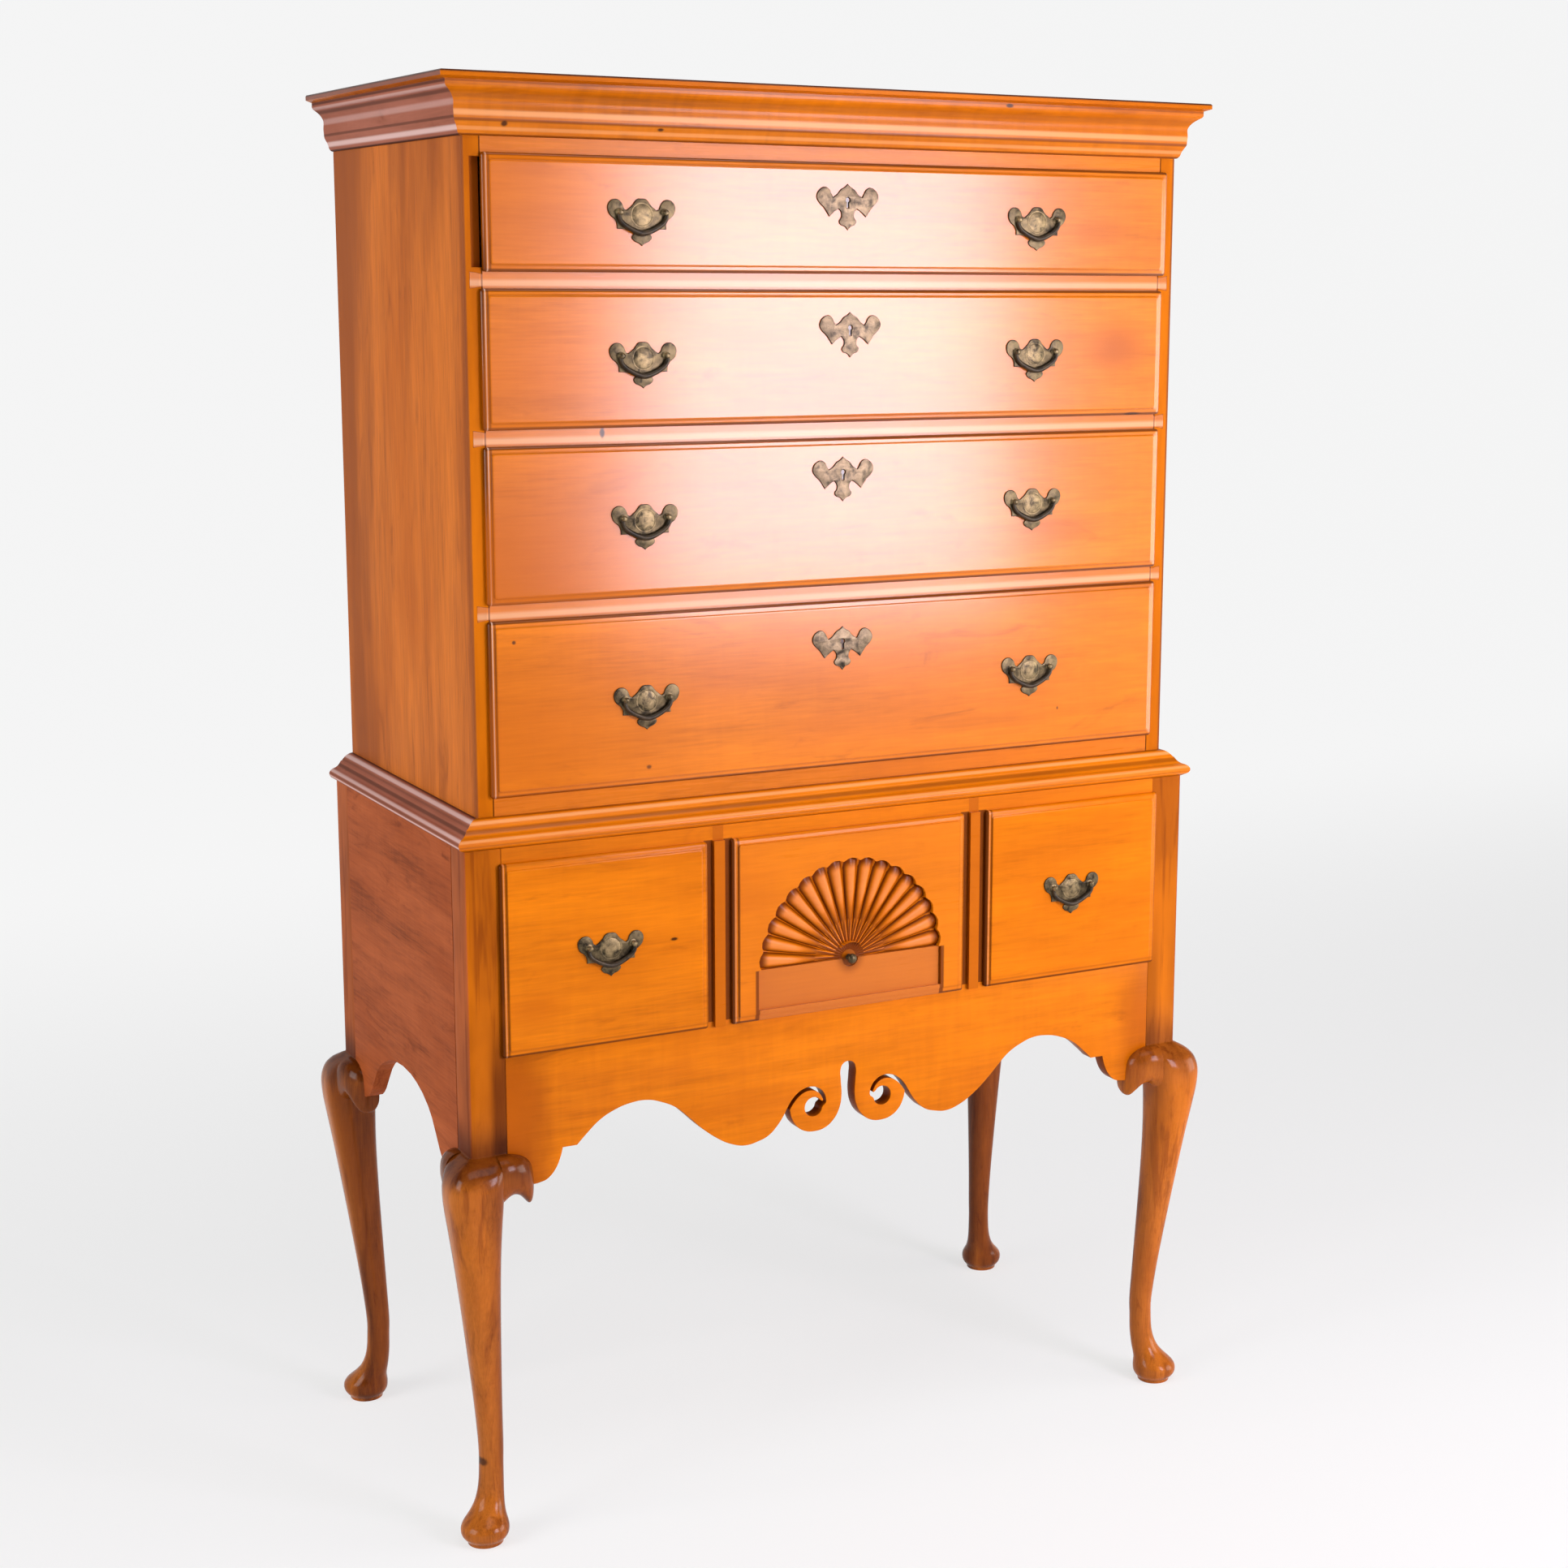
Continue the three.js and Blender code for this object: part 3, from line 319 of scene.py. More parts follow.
def aged_brass(name, base, rough=0.42, metal=0.8):
    """Old brass: worn paler patches, darker tarnish, and small pits."""
    finish = Finish(name)
    place = finish.stretched((1.0, 1.0, 1.0))
    patina = finish.noise(place, 105.0, 4.0, 0.65, 0.4)
    specks = finish.noise(place, 420.0, 2.0, 0.6)
    finish.paint = finish.ramp(patina, [
        (0.34, tinted(base, 0.16)), (0.47, tinted(base, 0.7)), (0.66, tinted(base, 1.5))])
    finish.over(specks.step(0.6, 0.75) * 0.5, tinted(base, 0.2))
    return finish.close(
        Base_Color=finish.paint, Metallic=metal,
        Roughness=rough + (patina - 0.5) * 0.4 + (specks - 0.5) * 0.15,
        Normal=finish.bump(patina * 0.6 + specks * 0.4, 0.25))


# Mesh helpers


def frozen(name, bm):
    """A mesh made from a bmesh, which is freed."""
    mesh = bpy.data.meshes.new(name)
    bm.to_mesh(mesh)
    bm.free()
    return mesh


def linked(name, data):
    """A new object in the scene."""
    made = bpy.data.objects.new(name, data)
    bpy.context.scene.collection.objects.link(made)
    return made


def settle(name, bm, material, body, node=None, angle=38.0):
    """Turns a bmesh into a finished piece that rides on a body and stands for a solid."""
    bmesh.ops.remove_doubles(bm, verts=bm.verts, dist=WELD)
    bmesh.ops.recalc_face_normals(bm, faces=bm.faces)
    mesh = frozen(name, bm)
    mesh.shade_smooth()
    mesh.set_sharp_from_angle(angle=math.radians(angle))
    for one in material if isinstance(material, tuple) else (material,):
        mesh.materials.append(one)
    piece = linked(name, mesh)
    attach(piece, body)
    if node:
        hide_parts(node)


def smooth_steps(rows, count):
    """Stations on a soft curve through rows of numbers, count to each row, and the last row."""
    found = []
    last = len(rows) - 1
    for i in range(last):
        near = (rows[max(i - 1, 0)], rows[i], rows[i + 1], rows[min(i + 2, last)])
        for step in range(count):
            t = step / count
            found.append([
                0.5 * (2 * b + (c - a) * t + (2 * a - 5 * b + 4 * c - d) * t * t
                       + (3 * b - a - 3 * c + d) * t ** 3)
                for a, b, c, d in zip(*near)])
    return [*found, list(rows[last])]


def skinned(bm, loops, ends):
    """Bridges loops of edges one after the other, and closes the two ends."""
    for low, high in zip(loops, loops[1:]):
        bmesh.ops.bridge_loops(bm, edges=low + high)
    for end in ends:
        bmesh.ops.contextual_create(bm, geom=end)


def bridged(bm, places, count):
    """A closed body over rings of points, each put in place by place(cosine, sine)."""
    loops, rings = [], []
    for place in places:
        made = bmesh.ops.create_circle(bm, cap_ends=False, segments=count, radius=1.0)["verts"]
        for vert in made:
            vert.co = Vector(place(vert.co.x, vert.co.y)) * MM
        loops.append(sorted({e for v in made for e in v.link_edges}, key=lambda e: e.index))
        rings.append(made)
    skinned(bm, loops, (rings[0], rings[-1]))


def curve(name, **settings):
    data = bpy.data.curves.new(name, "CURVE")
    for key, value in settings.items():
        setattr(data, key, value)
    return data


def curved_bmesh(name, data):
    """A bmesh of a curve's surface; the curve itself is removed."""
    holder = linked(name, data)
    bpy.context.view_layer.update()
    mesh = bpy.data.meshes.new_from_object(
        holder.evaluated_get(bpy.context.evaluated_depsgraph_get()))
    bm = bmesh.new()
    bm.from_mesh(mesh)
    bpy.data.objects.remove(holder)
    bpy.data.curves.remove(data)
    bpy.data.meshes.remove(mesh)
    return bm


def outlined(name, loops, thick, bevel, steps):
    """A bmesh board in x and z from closed outlines of (x, z, corner), front face at y = 0."""
    data = curve(
        name, dimensions="2D", fill_mode="BOTH", resolution_u=steps, bevel_depth=bevel,
        extrude=max(thick / 2 - bevel, 1e-5), bevel_resolution=2, offset=-bevel)
    for loop in loops:
        spline = data.splines.new("BEZIER")
        spline.bezier_points.add(len(loop) - 1)
        spline.use_cyclic_u = True
        for point, (x, z, corner) in zip(spline.bezier_points, loop):
            point.co = (x, z, 0.0)
            point.handle_left_type = point.handle_right_type = "VECTOR" if corner else "AUTO"
    bm = curved_bmesh(name, data)
    turn = Matrix(((1, 0, 0, 0), (0, 0, -1, thick / 2), (0, 1, 0, 0), (0, 0, 0, 1)))
    bmesh.ops.transform(bm, matrix=turn, verts=bm.verts)
    bmesh.ops.remove_doubles(bm, verts=bm.verts, dist=WELD)
    return bm


def outline(rows):
    """Points in metres from rows in millimetres: (x, z), and (x, z, 1) at a corner."""
    return [(row[0] * MM, row[1] * MM, len(row) > 2) for row in rows]


def both_sides(rows):
    """A closed outline from its right half, listed from the top down."""
    half = outline(rows)
    left = [(-x, z, corner) for x, z, corner in reversed(half) if abs(x) > 1e-9]
    return [*half, *left]


def moved(bm, x=0.0, y=0.0, z=0.0):
    bmesh.ops.translate(bm, verts=bm.verts, vec=(x, y, z))
    return bm


def pulled(bm, grown, vec):
    """Moves the points that an extrusion made."""
    bmesh.ops.translate(bm, vec=vec, verts=[
        g for g in grown["geom"] if isinstance(g, bmesh.types.BMVert)])


def merged(bm, other):
    """Adds the other bmesh to the first one."""
    mesh = frozen("join", other)
    bm.from_mesh(mesh)
    bpy.data.meshes.remove(mesh)


def sizes():
    return bpy.context.scene.highboy_sizes


def colours():
    return bpy.context.scene.highboy_colours


# Legs

# Height, throw outwards, width of the section in millimetres, and its squareness
LEG_STATIONS = [
    (0, 12, 43, 2), (4.5, 12, 45, 2), (6.5, 12.2, 50, 2),
    (12, 12.5, 57, 2), (19, 12.4, 58.4, 2), (25, 11.4, 55, 2),
    (31, 9.2, 48.4, 2), (37, 6.4, 42.4, 2), (46, 2.8, 36.4, 2),
    (58, 0, 32.4, 2), (72, -1.7, 30.4, 2), (92, -2.4, 29.6, 2),
    (115, -2.6, 30, 2.1), (160, 0.2, 32.6, 2.2),
    (210, 4, 37, 2.3), (260, 8, 42, 2.4), (310, 12, 47.5, 2.5),
    (360, 15.8, 54, 2.6), (400, 18.6, 60.5, 2.8), (430, 20.2, 66, 2.9),
    (452, 19.8, 68, 3), (468, 16.4, 66, 3.3), (478, 11, 60, 4),
    (484.5, 4.5, 51, 6), (487, 0.6, 46, 14),
]

# Share of the way from knee to tip, then underside, top and face of the section there
KNEE_BLOCK = [
    (0, 426, 487, 1), (0.2, 434, 487, 0.98), (0.4, 437.5, 486, 0.92),
    (0.6, 434, 483.5, 0.82), (0.75, 427, 480, 0.7), (0.86, 421.5, 476, 0.56),
    (0.94, 422, 471, 0.4), (1, 427, 464, 0.2),
]
BLOCK_POWER = 2.6
# For the block on a leg's side and on its front: axis, knee, tip, inner and outer face
SIDE_BLOCK, FRONT_BLOCK = (1, 211.0, 163.0, 480.0, 523.0), (0, 470.0, 423.0, 221.0, 264.0)
LEG_SIDES, BLOCK_SIDES = 48, 28

# How strong the patina and the painted shade on the inner faces are on a leg, and its knot
LEG_PATINA_AND_SHADE = {"leg_front_right": (0.5, 0.25)}
LEG_SPOTS = {"leg_front_left": [(-0.4885, 0.098, 0.006, 0.007, 0.8)]}


def squarish(x, y, z, width, power):
    """Places a ring's points on a rounded square round a centre, in millimetres."""
    def place(c, s):
        reach = (abs(c) ** power + abs(s) ** power) ** (1 / power)
        reach = width / 2 / max(reach, abs(c), abs(s))
        return x + reach * c, y + reach * s, z

    return place


def knee_block(bm, axis, knee, tip, inner, outer):
    """A carved block glued beside a knee, hollow below, with a small ear that turns down.

    knee and tip are its ends along the axis, 0 for x and 1 for y; inner and outer are its faces
    on the other axis, all in millimetres.
    """
    def section(t, under, top, reach):
        half = (outer - inner) / 2 * (0.35 + 0.65 * reach)

        def place(c, q):
            size = 1 / (abs(c) ** BLOCK_POWER + abs(q) ** BLOCK_POWER) ** (1 / BLOCK_POWER)
            spot = [0.0, 0.0, (under + top) / 2 + (top - under) / 2 * q * size]
            spot[axis] = knee + (tip - knee) * t
            spot[1 - axis] = inner + half + half * c * size
            return spot

        return place

    bridged(bm, [section(*row) for row in smooth_steps(KNEE_BLOCK, 3)], BLOCK_SIDES)


def leg_patina_and_shade(patina, inside):
    """Honey colour on the post, a dark patina round the knee, a painted highlight down the shaft,
    and painted shade on the inner faces below the knee.
    """
    def paint_on(finish):
        x, y, z = finish.axes()
        wide, front, side = x.size(), colours().front, colours().low_side
        wave = finish.streaks((14.0, 14.0, 5.0))
        height = z + (wave - 0.5) * 0.05
        # The post, and then its outer face, which is as red as the side beside it
        finish.over(height.step(0.47, 0.56) * 0.9, finish.mix(
            wave.step(0.35, 0.65) * 0.8, tinted(front, 0.8, 0.04), tinted(front, 0.42, 0.16)))
        outer = wide.step(0.4975, 0.4992) * z.step(0.487, 0.489)
        finish.over(outer * 0.85, finish.mix(
            wave.step(0.35, 0.65), tinted(side, 1.1), tinted(side, 0.7)))
        # How far inward a point of the shaft is, whose centre and width grow as it rises
        rise = ((z - 0.09) / 0.34).most(0.0).least(1.0)
        across = (wide - 0.4751 - rise * 0.0226).least(y.size() - 0.2161 - rise * 0.0226)
        inward = across / (rise * 0.018 + 0.015) + (wave - 0.5) * 0.5
        inner = inward.fade(-0.8, 0.05) * z.fade(0.45, 0.487)
        # A painted highlight down the shaft, below the knee
        lit = height.band(0.25, 0.4, 0.435, 0.46) * wave.step(0.36, 0.62)
        finish.over(lit * 0.4, tinted(front, 0.95))
        streak = finish.streaks((70.0, 70.0, 4.5), 3.0, 0.6, 0.3)
        finish.darken(streak.step(0.5, 0.66) * 0.6, (0.5, 0.38, 0.3))
        # Painted shade on the shaft's inner faces
        finish.darken(inner * inside, (0.34, 0.25, 0.2))
        # Darker next to the seam to the apron, and a dark patina round the knee
        seam = wide.fade(0.466, 0.479) * height.fade(0.57, 0.68) * z.step(0.485, 0.489)
        finish.darken(seam * (patina - 0.06), (0.26, 0.2, 0.3))
        finish.darken(height.band(0.449, 0.474, 0.49, 0.54) * patina, (0.25, 0.18, 0.13))

    return paint_on


def low_coat(finish):
    """A waxed coat on the shaped leg, and none on the post above it."""
    return finish.axes()[2].fade(0.47, 0.49) * 0.26


def shaped_gloss(finish):
    """Polished on the shaped leg, duller on the post above it."""
    return finish.axes()[2].step(0.486, 0.489) * 0.28 + 0.17


def build_legs():
    for name in LEGS:
        sx = -1 if name.endswith("left") else 1
        sy = -1 if "front" in name else 1
        x, y = sx * POST_X, sy * POST_Y
        places = [squarish(x + sx * out, y + sy * out, z, width, max(2.0, power))
                  for z, out, width, power in smooth_steps(LEG_STATIONS, 4)]
        places += [squarish(x, y, z, POST_WIDTH, 40.0) for z in (POST_FOOT, WAIST)]
        bm = bmesh.new()
        bridged(bm, places, LEG_SIDES)
        for axis, *ends, inner, outer in (SIDE_BLOCK, FRONT_BLOCK)[:2 if sy < 0 else 1]:
            along, across = (sx, sy) if axis == 0 else (sy, sx)
            knee_block(bm, axis, *(along * end for end in ends), across * inner, across * outer)
        # The back legs' maple is a little darker, as painted shade
        material = maple(
            "Leg maple " + name.replace("_", " "),
            tinted(colours().leg, 0.94 if "back" in name else 1.0), "z",
            (sx * 0.37, sy * 0.61, 0.0), 2.4, fine=2.6, gloss=shaped_gloss, coat=low_coat,
            shine=0.04, edge=leg_patina_and_shade(*LEG_PATINA_AND_SHADE.get(name, (0.86, 0.8))),
            spots=LEG_SPOTS.get(name, ()))
        settle(name + "_carved", bm, material, "case", name, angle=50.0)


# Apron


def scroll_slit():
    """The sawn line that starts at the scroll's notch, winds over the eye and opens into it."""
    bend = [(2, 36.0), (20, 31.5), (40, 28.6), (60, 26.6), (85, 24.2), (110, 21.6), (135, 18.8),
            (155, 16.6), (170, 15.0)]
    centre_x, centre_z, half_cut, eye_radius = 49.0, 480.5, 2.5, 12.4

    def on(degrees, radius, *corner):
        angle = math.radians(degrees)
        return (centre_x + radius * math.cos(angle), centre_z + radius * math.sin(angle), *corner)

    (first, reach), *rest = bend
    outer = [on(first, reach + half_cut, 1), *(on(d, r + half_cut) for d, r in rest)]
    inner = [on(first, reach - half_cut, 1), *(on(d, r - half_cut) for d, r in rest[:-1])]
    eye = [on(188 + step * 26.5, eye_radius) for step in range(13)]
    return [*outer, *eye, *reversed(inner)]


# The apron's right half in millimetres, from the top down to the middle
APRON_HALF = [
    (0, 611, 1), (455, 611, 1), (455, 445.2, 1), (410, 445.2), (402, 449.6), (394, 459),
    (388.5, 471), (385, 483, 1), (367, 483, 1), (354, 495.5), (338, 509), (318, 519),
    (297, 524.3), (275, 524.6), (256, 518.8), (238, 509.5), (221, 494.5), (204, 478),
    (184, 462), (164, 450.6), (144, 445.4), (127, 447.6), (112, 453), (100, 463.5),
    (91, 475.5), *scroll_slit(), (79.6, 470), (73, 459), (62, 451), (48, 448.2), (33, 450.6),
    (21, 459), (12.8, 472), (9.4, 488), (10.4, 510), (10.8, 523), (7.6, 530), (0, 533),
]


def darker_apron_ends(finish):
    """Darker wood where the apron meets the leg posts."""
    x, _, z = finish.axes()
    wave = finish.streaks((30.0, 30.0, 9.0)) - 0.5
    close = (x.size() + wave * 0.04).step(0.385, 0.448) * (z + wave * 0.08).fade(0.56, 0.64)
    finish.darken(close * (1.0 - x.step(0.0, 0.1) * 0.45) * 0.9, (0.34, 0.22, 0.3))


def build_apron():
    bm = outlined("apron", [both_sides(APRON_HALF)], 20.0 * MM, 0.7 * MM, 6)
    moved(bm, y=LOWER_FACE * MM)
    for face in bm.faces:
        face.material_index = 0 if abs(face.normal.y) > 0.3 else 1
    flat = maple("Apron maple", colours().front, "x", (0.31, 0.0, 1.7), 1.5, curl=0.16, coat=0.04,
                 shine=0.08, edge=darker_apron_ends,
                 stains_and_shade=[(-0.45, 0.53, 0.07, 0.1, 0.9), (0.45, 0.53, 0.05, 0.06, 0.6),
                         (-0.15, 0.5, 0.16, 0.03, 0.4)])
    sawn = maple("Sawn edge maple", front_tint(0.3, 0.3), "x", (0.9, 0.0, 0.2), 1.2,
                 coat=0.0, shine=0.04)
    settle("front_apron_sawn", bm, (flat, sawn), "case", "front_apron", angle=16.0)


# Mouldings: a soft section led round the right side, the front and the left side


def led_moulding(section, width, front):
    """A section of (offset, z) or (side offset, front offset, z) led round three sides."""
    bm = bmesh.new()
    rows = [(row[0], *row[-2:]) for row in section]
    made = [bm.verts.new(Vector((width / 2 + a, REAR, z)) * MM) for a, b, z in rows]
    edges = [bm.edges.new((u, v)) for u, v in zip(made, made[1:] + made[:1])]
    bmesh.ops.contextual_create(bm, geom=edges)
    stations = [
        lambda a, b: (width / 2 + a, front - b),
        lambda a, b: (-width / 2 - a, front - b),
        lambda a, b: (-width / 2 - a, REAR),
    ]
    for place in stations:
        grown = bmesh.ops.extrude_edge_only(bm, edges=edges)["geom"]
        links = {}
        for vert in grown:
            if isinstance(vert, bmesh.types.BMVert):
                for edge in vert.link_edges:
                    links[edge.other_vert(vert)] = vert
        made = [links[v] for v in made]
        for vert, (a, b, z) in zip(made, rows):
            vert.co = Vector((*place(a, b), z)) * MM
        edges = [e for e in grown if isinstance(e, bmesh.types.BMEdge)
                 and e.verts[0] in made and e.verts[1] in made]
    bmesh.ops.contextual_create(bm, geom=edges)
    return bm


def banded(bands):
    """Paints lines along a moulding, as painted shade, highlights and reflections, or joints along
    boards: (height, half width, strength, colour) in mm.
    """
    def paint_on(finish):
        z = finish.axes()[2]
        for height, half, strength, shade in bands:
            away = (z - height * MM).size()
            finish.over(away.fade(half * 0.3 * MM, half * MM) * strength, shade)

    return paint_on


def returned(bm):
    """Gives the lengths along the case's sides the second finish."""
    bmesh.ops.recalc_face_normals(bm, faces=bm.faces)
    for face in bm.faces:
        sideways = abs(face.normal.x) > abs(face.normal.y) + 0.001
        face.material_index = int(sideways or abs(face.calc_center_median().y) < 0.2)
    return bm


def return_maple(name, shift, bands):
    """The dull dark finish of a moulding's lengths along the case's sides, in a mauve that is
    partly the maple's colour and partly a painted sheen.
    """
    return maple(name, colours().moulding, "y", shift, 1.5, gloss=0.5, coat=0.0, shine=0.03,
                 edge=banded(bands))


def settle_run(node, section, width, front, face, side):
    """Makes a moulding's run from its section, and settles it with its two finishes."""
    settle(node + "_run", returned(led_moulding(section, width, front)), (face, side), "case",
           node, angle=34.0)


def band_shade_and_light():
    """The colours of the painted shade and painted highlight lines on the front's mouldings, and
    of the painted shade and painted reflection lines on the returns.
    """
    paint = colours()
    return (tinted(paint.front, 0.16, 0.4), (0.86, 0.42, 0.16), tinted(paint.moulding, 0.14, 0.2),
            (0.9, 0.66, 0.62))


def build_cornice():
    cove = smooth_steps([(11.2, 1673.8), (11.6, 1680.0), (11.2, 1687.9), (12.6, 1692.4),
                         (16.2, 1697.2), (21.0, 1701.0), (24.4, 1703.4), (25.4, 1705.6)], 3)
    bead = smooth_steps([(0.0, 1652.8), (2.4, 1653.2), (5.0, 1656.2), (6.4, 1660.8),
                         (8.4, 1664.8), (10.4, 1668.4), (11.0, 1670.6)], 3)
    section = [(0.0, 1711.0), (0.0, 1653.0), *bead[1:], *cove, (25.4, 1711.0)]
    # Painted shade in the hollows, painted highlights and reflections on the rounds
    dark, pale_highlight, dusk_shade, mauve_reflection = band_shade_and_light()
    face = maple(
        "Cornice maple", front_tint(0.92, -0.02), "x", (0.7, 0.1, 4.1), 1.7, curl=0.2,
        edge=banded([(1709.5, 2.0, 0.5, dark), (1696, 6.0, 0.3, dark), (1677, 4.5, 0.6, pale_highlight),
                     (1669.5, 2.6, 0.7, dark), (1660.5, 3.0, 0.35, pale_highlight),
                     (1653.6, 2.0, 0.8, dark)]),
        spots=[(-0.4293, 1.6662, 0.005, 0.004, 0.9), (-0.2413, 1.6652, 0.006, 0.003, 0.9),
               (0.2137, 1.708, 0.006, 0.003, 0.9)])
    side = return_maple("Cornice return maple", (0.1, 0.4, 1.1), [
        (1709, 2.5, 0.8, dusk_shade), (1703.5, 2.4, 0.35, mauve_reflection), (1699, 2.6, 0.6, dusk_shade),
        (1688, 5.0, 0.25, mauve_reflection), (1672, 2.4, 0.6, dusk_shade), (1661, 4.2, 0.65, mauve_reflection),
        (1653.4, 1.8, 0.9, dusk_shade)])
    settle_run("cornice_moulding", section[::-1], UPPER_WIDTH, UPPER_FACE, face, side)


def build_waist():
    nose = smooth_steps([(0.3, 854.2), (4.0, 856.4), (7.2, 858.6), (8.8, 861.4), (8.9, 864.6),
                         (7.0, 867.6), (3.9, 869.6)], 3)
    hollow = smooth_steps([(1.0, 870.6), (-2.0, 872.4), (-4.6, 875.4), (-6.6, 878.6)], 3)
    swell = smooth_steps([(0.36, 879.4), (0.44, 881.6), (0.56, 884.4), (0.72, 886.8),
                          (0.88, 888.1), (1.0, 888.5)], 3)
    # How far the upper case stands back from the lower one, at the side and at the front
    side_step, front_step = (LOWER_WIDTH - UPPER_WIDTH) / 2, UPPER_FACE - LOWER_FACE
    section = [*nose, *hollow, *((-a * side_step, -a * front_step, z) for a, z in swell),
               (-side_step, -front_step, WAIST), (0.0, 0.0, WAIST), (0.0, 0.0, 854.0)]
    # Painted shade in the hollows, painted highlights and reflections on the rounds
    dark, pale_highlight, dusk_shade, mauve_reflection = band_shade_and_light()
    face = maple(
        "Waist maple", colours().front, "x", (0.2, 0.5, 2.9), 1.2, edge=banded([
            (888.2, 1.4, 0.6, dark), (884, 2.6, 0.5, pale_highlight), (875.5, 3.6, 0.6, dark),
            (867, 2.2, 0.4, pale_highlight), (861, 1.4, 0.3, dark), (855, 2.2, 0.7, dark)]))
    side = return_maple("Waist return maple", (0.6, 0.2, 2.1), [
        (888.6, 0.9, 0.8, dusk_shade), (885.4, 2.4, 0.6, mauve_reflection), (881, 1.8, 0.35, dusk_shade),
        (874.5, 2.8, 0.65, dusk_shade), (868.2, 2.0, 0.55, mauve_reflection), (864.8, 1.6, 0.4, dusk_shade),
        (861.2, 1.8, 0.6, mauve_reflection), (855, 1.8, 0.9, dusk_shade)])
    settle_run("waist_moulding", section, LOWER_WIDTH, LOWER_FACE, face, side)


def rim_line(finish):
    """Dark lines along the top board's upper and lower arris, at its front and sides."""
    x, y, z = finish.axes()
    outer = x.size().step(0.506, 0.5085).most(y.fade(-0.2535, -0.251))
    dark = tinted(colours().moulding, 0.14)
    finish.over(z.step(1.7170, 1.7188) * outer * 0.92, dark)
    finish.over(z.fade(1.7116, 1.7126) * outer * 0.6, dark)


def build_top():
    bm = bmesh.new()
    loops = []
    for out, z in ((26.0, 1711.0), (33.0, 1713.6), (33.0, 1718.6), (31.6, 1720.0)):
        x, y = UPPER_WIDTH / 2 + out, UPPER_FACE - out
        made = [bm.verts.new(Vector((a, b, z)) * MM)
                for a, b in ((-x, y), (x, y), (x, REAR), (-x, REAR))]
        loops.append([bm.edges.new((made[i], made[(i + 1) % 4])) for i in range(4)])
    skinned(bm, loops, (loops[0], loops[-1]))
    returned(bm)
    for face in bm.faces:
        if abs(face.normal.z) > 0.9:
            face.material_index = 0
    look = {"contrast": 1.4, "coat": 0.0, "shine": 0.05, "edge": rim_line}
    settle("top_board_edged", bm, (
        maple("Top maple", front_tint(0.82, 0.05), "x", **look),
        maple("Top return maple", tinted(colours().moulding, 0.7), "y", **look)),
           "case", "top_board")


def build_mouldings():
    build_cornice()
    build_waist()
    build_top()


# Drawer fronts

# Knots and holes, then soft stains and, last on each upper front, a wide painted shade towards its
# left end, as (x, z, half width, half height, strength) in metres
FRONT_SPOTS = {
    "upper_drawer_2": [(0.4158, 1.332, 0.016, 0.003, 0.85)],
    "upper_drawer_4": [(-0.2636, 0.9311, 0.005, 0.0035, 0.9), (-0.43, 1.09, 0.003, 0.003, 0.9),
                       (0.31, 0.958, 0.002, 0.003, 0.8)],
    "lower_left_drawer": [(-0.2416, 0.7229, 0.0065, 0.0028, 0.95)],
}
FRONT_STAINS_AND_SHADE = {
    "upper_drawer_1": [(-0.40, 1.62, 0.05, 0.02, 0.4), (0.36, 1.56, 0.07, 0.02, 0.5),
                       (-0.44, 1.58, 0.3, 0.12, 0.5)],
    "upper_drawer_2": [(0.388, 1.4145, 0.065, 0.045, 0.95), (-0.44, 1.38, 0.28, 0.12, 0.45)],
    "upper_drawer_3": [(-0.31, 1.24, 0.1, 0.04, 0.45), (0.30, 1.19, 0.08, 0.03, 0.4),
                       (-0.44, 1.18, 0.32, 0.15, 0.8)],
    "upper_drawer_4": [(-0.05, 1.02, 0.13, 0.03, 0.4), (0.2, 0.95, 0.16, 0.02, 0.35),
                       (-0.44, 0.97, 0.28, 0.15, 0.5)],
    "lower_left_drawer": [(-0.42, 0.66, 0.06, 0.03, 0.5)],
}


def lip_edge(box, lip, top, keyhole=None):
    """Painted shade in the gaps round the lip and along the line inside it, a painted highlight on
    the left lip, and painted shade inside a keyhole.

    top is the strength of the painted shade along the upper edge; keyhole is its centre's x and z.
    """
    low, high = box

    def paint_on(finish):
        x, _, z = finish.axes()
        dark = front_tint(0.1, 0.35)
        left = x - low[0]
        # Painted shade in the gaps and along the line inside the lip, stronger on the left and
        # lower sides
        sides = [(left, 0.95), (high[0] - x, 0.45), (z - low[2], 0.85), (high[2] - z, top)]
        for away, strength in sides:
            line = away.band(lip - 0.0022, lip - 0.0008, lip + 0.0004, lip + 0.002)
            finish.over(line * (strength * (0.7 if strength > 0.9 else 0.25)), dark)
            finish.over(away.fade(0.0024, 0.0042) * strength, dark)
        # A painted highlight along the left lip
        wear_and_highlight = left.band(0.0034, 0.0040, 0.0048, 0.0056)
        finish.over(wear_and_highlight * (0.75 if top > 0.5 else 0.2), (0.62, 0.42, 0.3))
        if keyhole:
            # Painted shade inside the keyhole
            away = from_spot(x, z, (*keyhole, 0.0026, 0.0075))
            finish.over(away.fade(0.8, 1.0) * 0.95, tinted(dark, 0.2))

    return paint_on


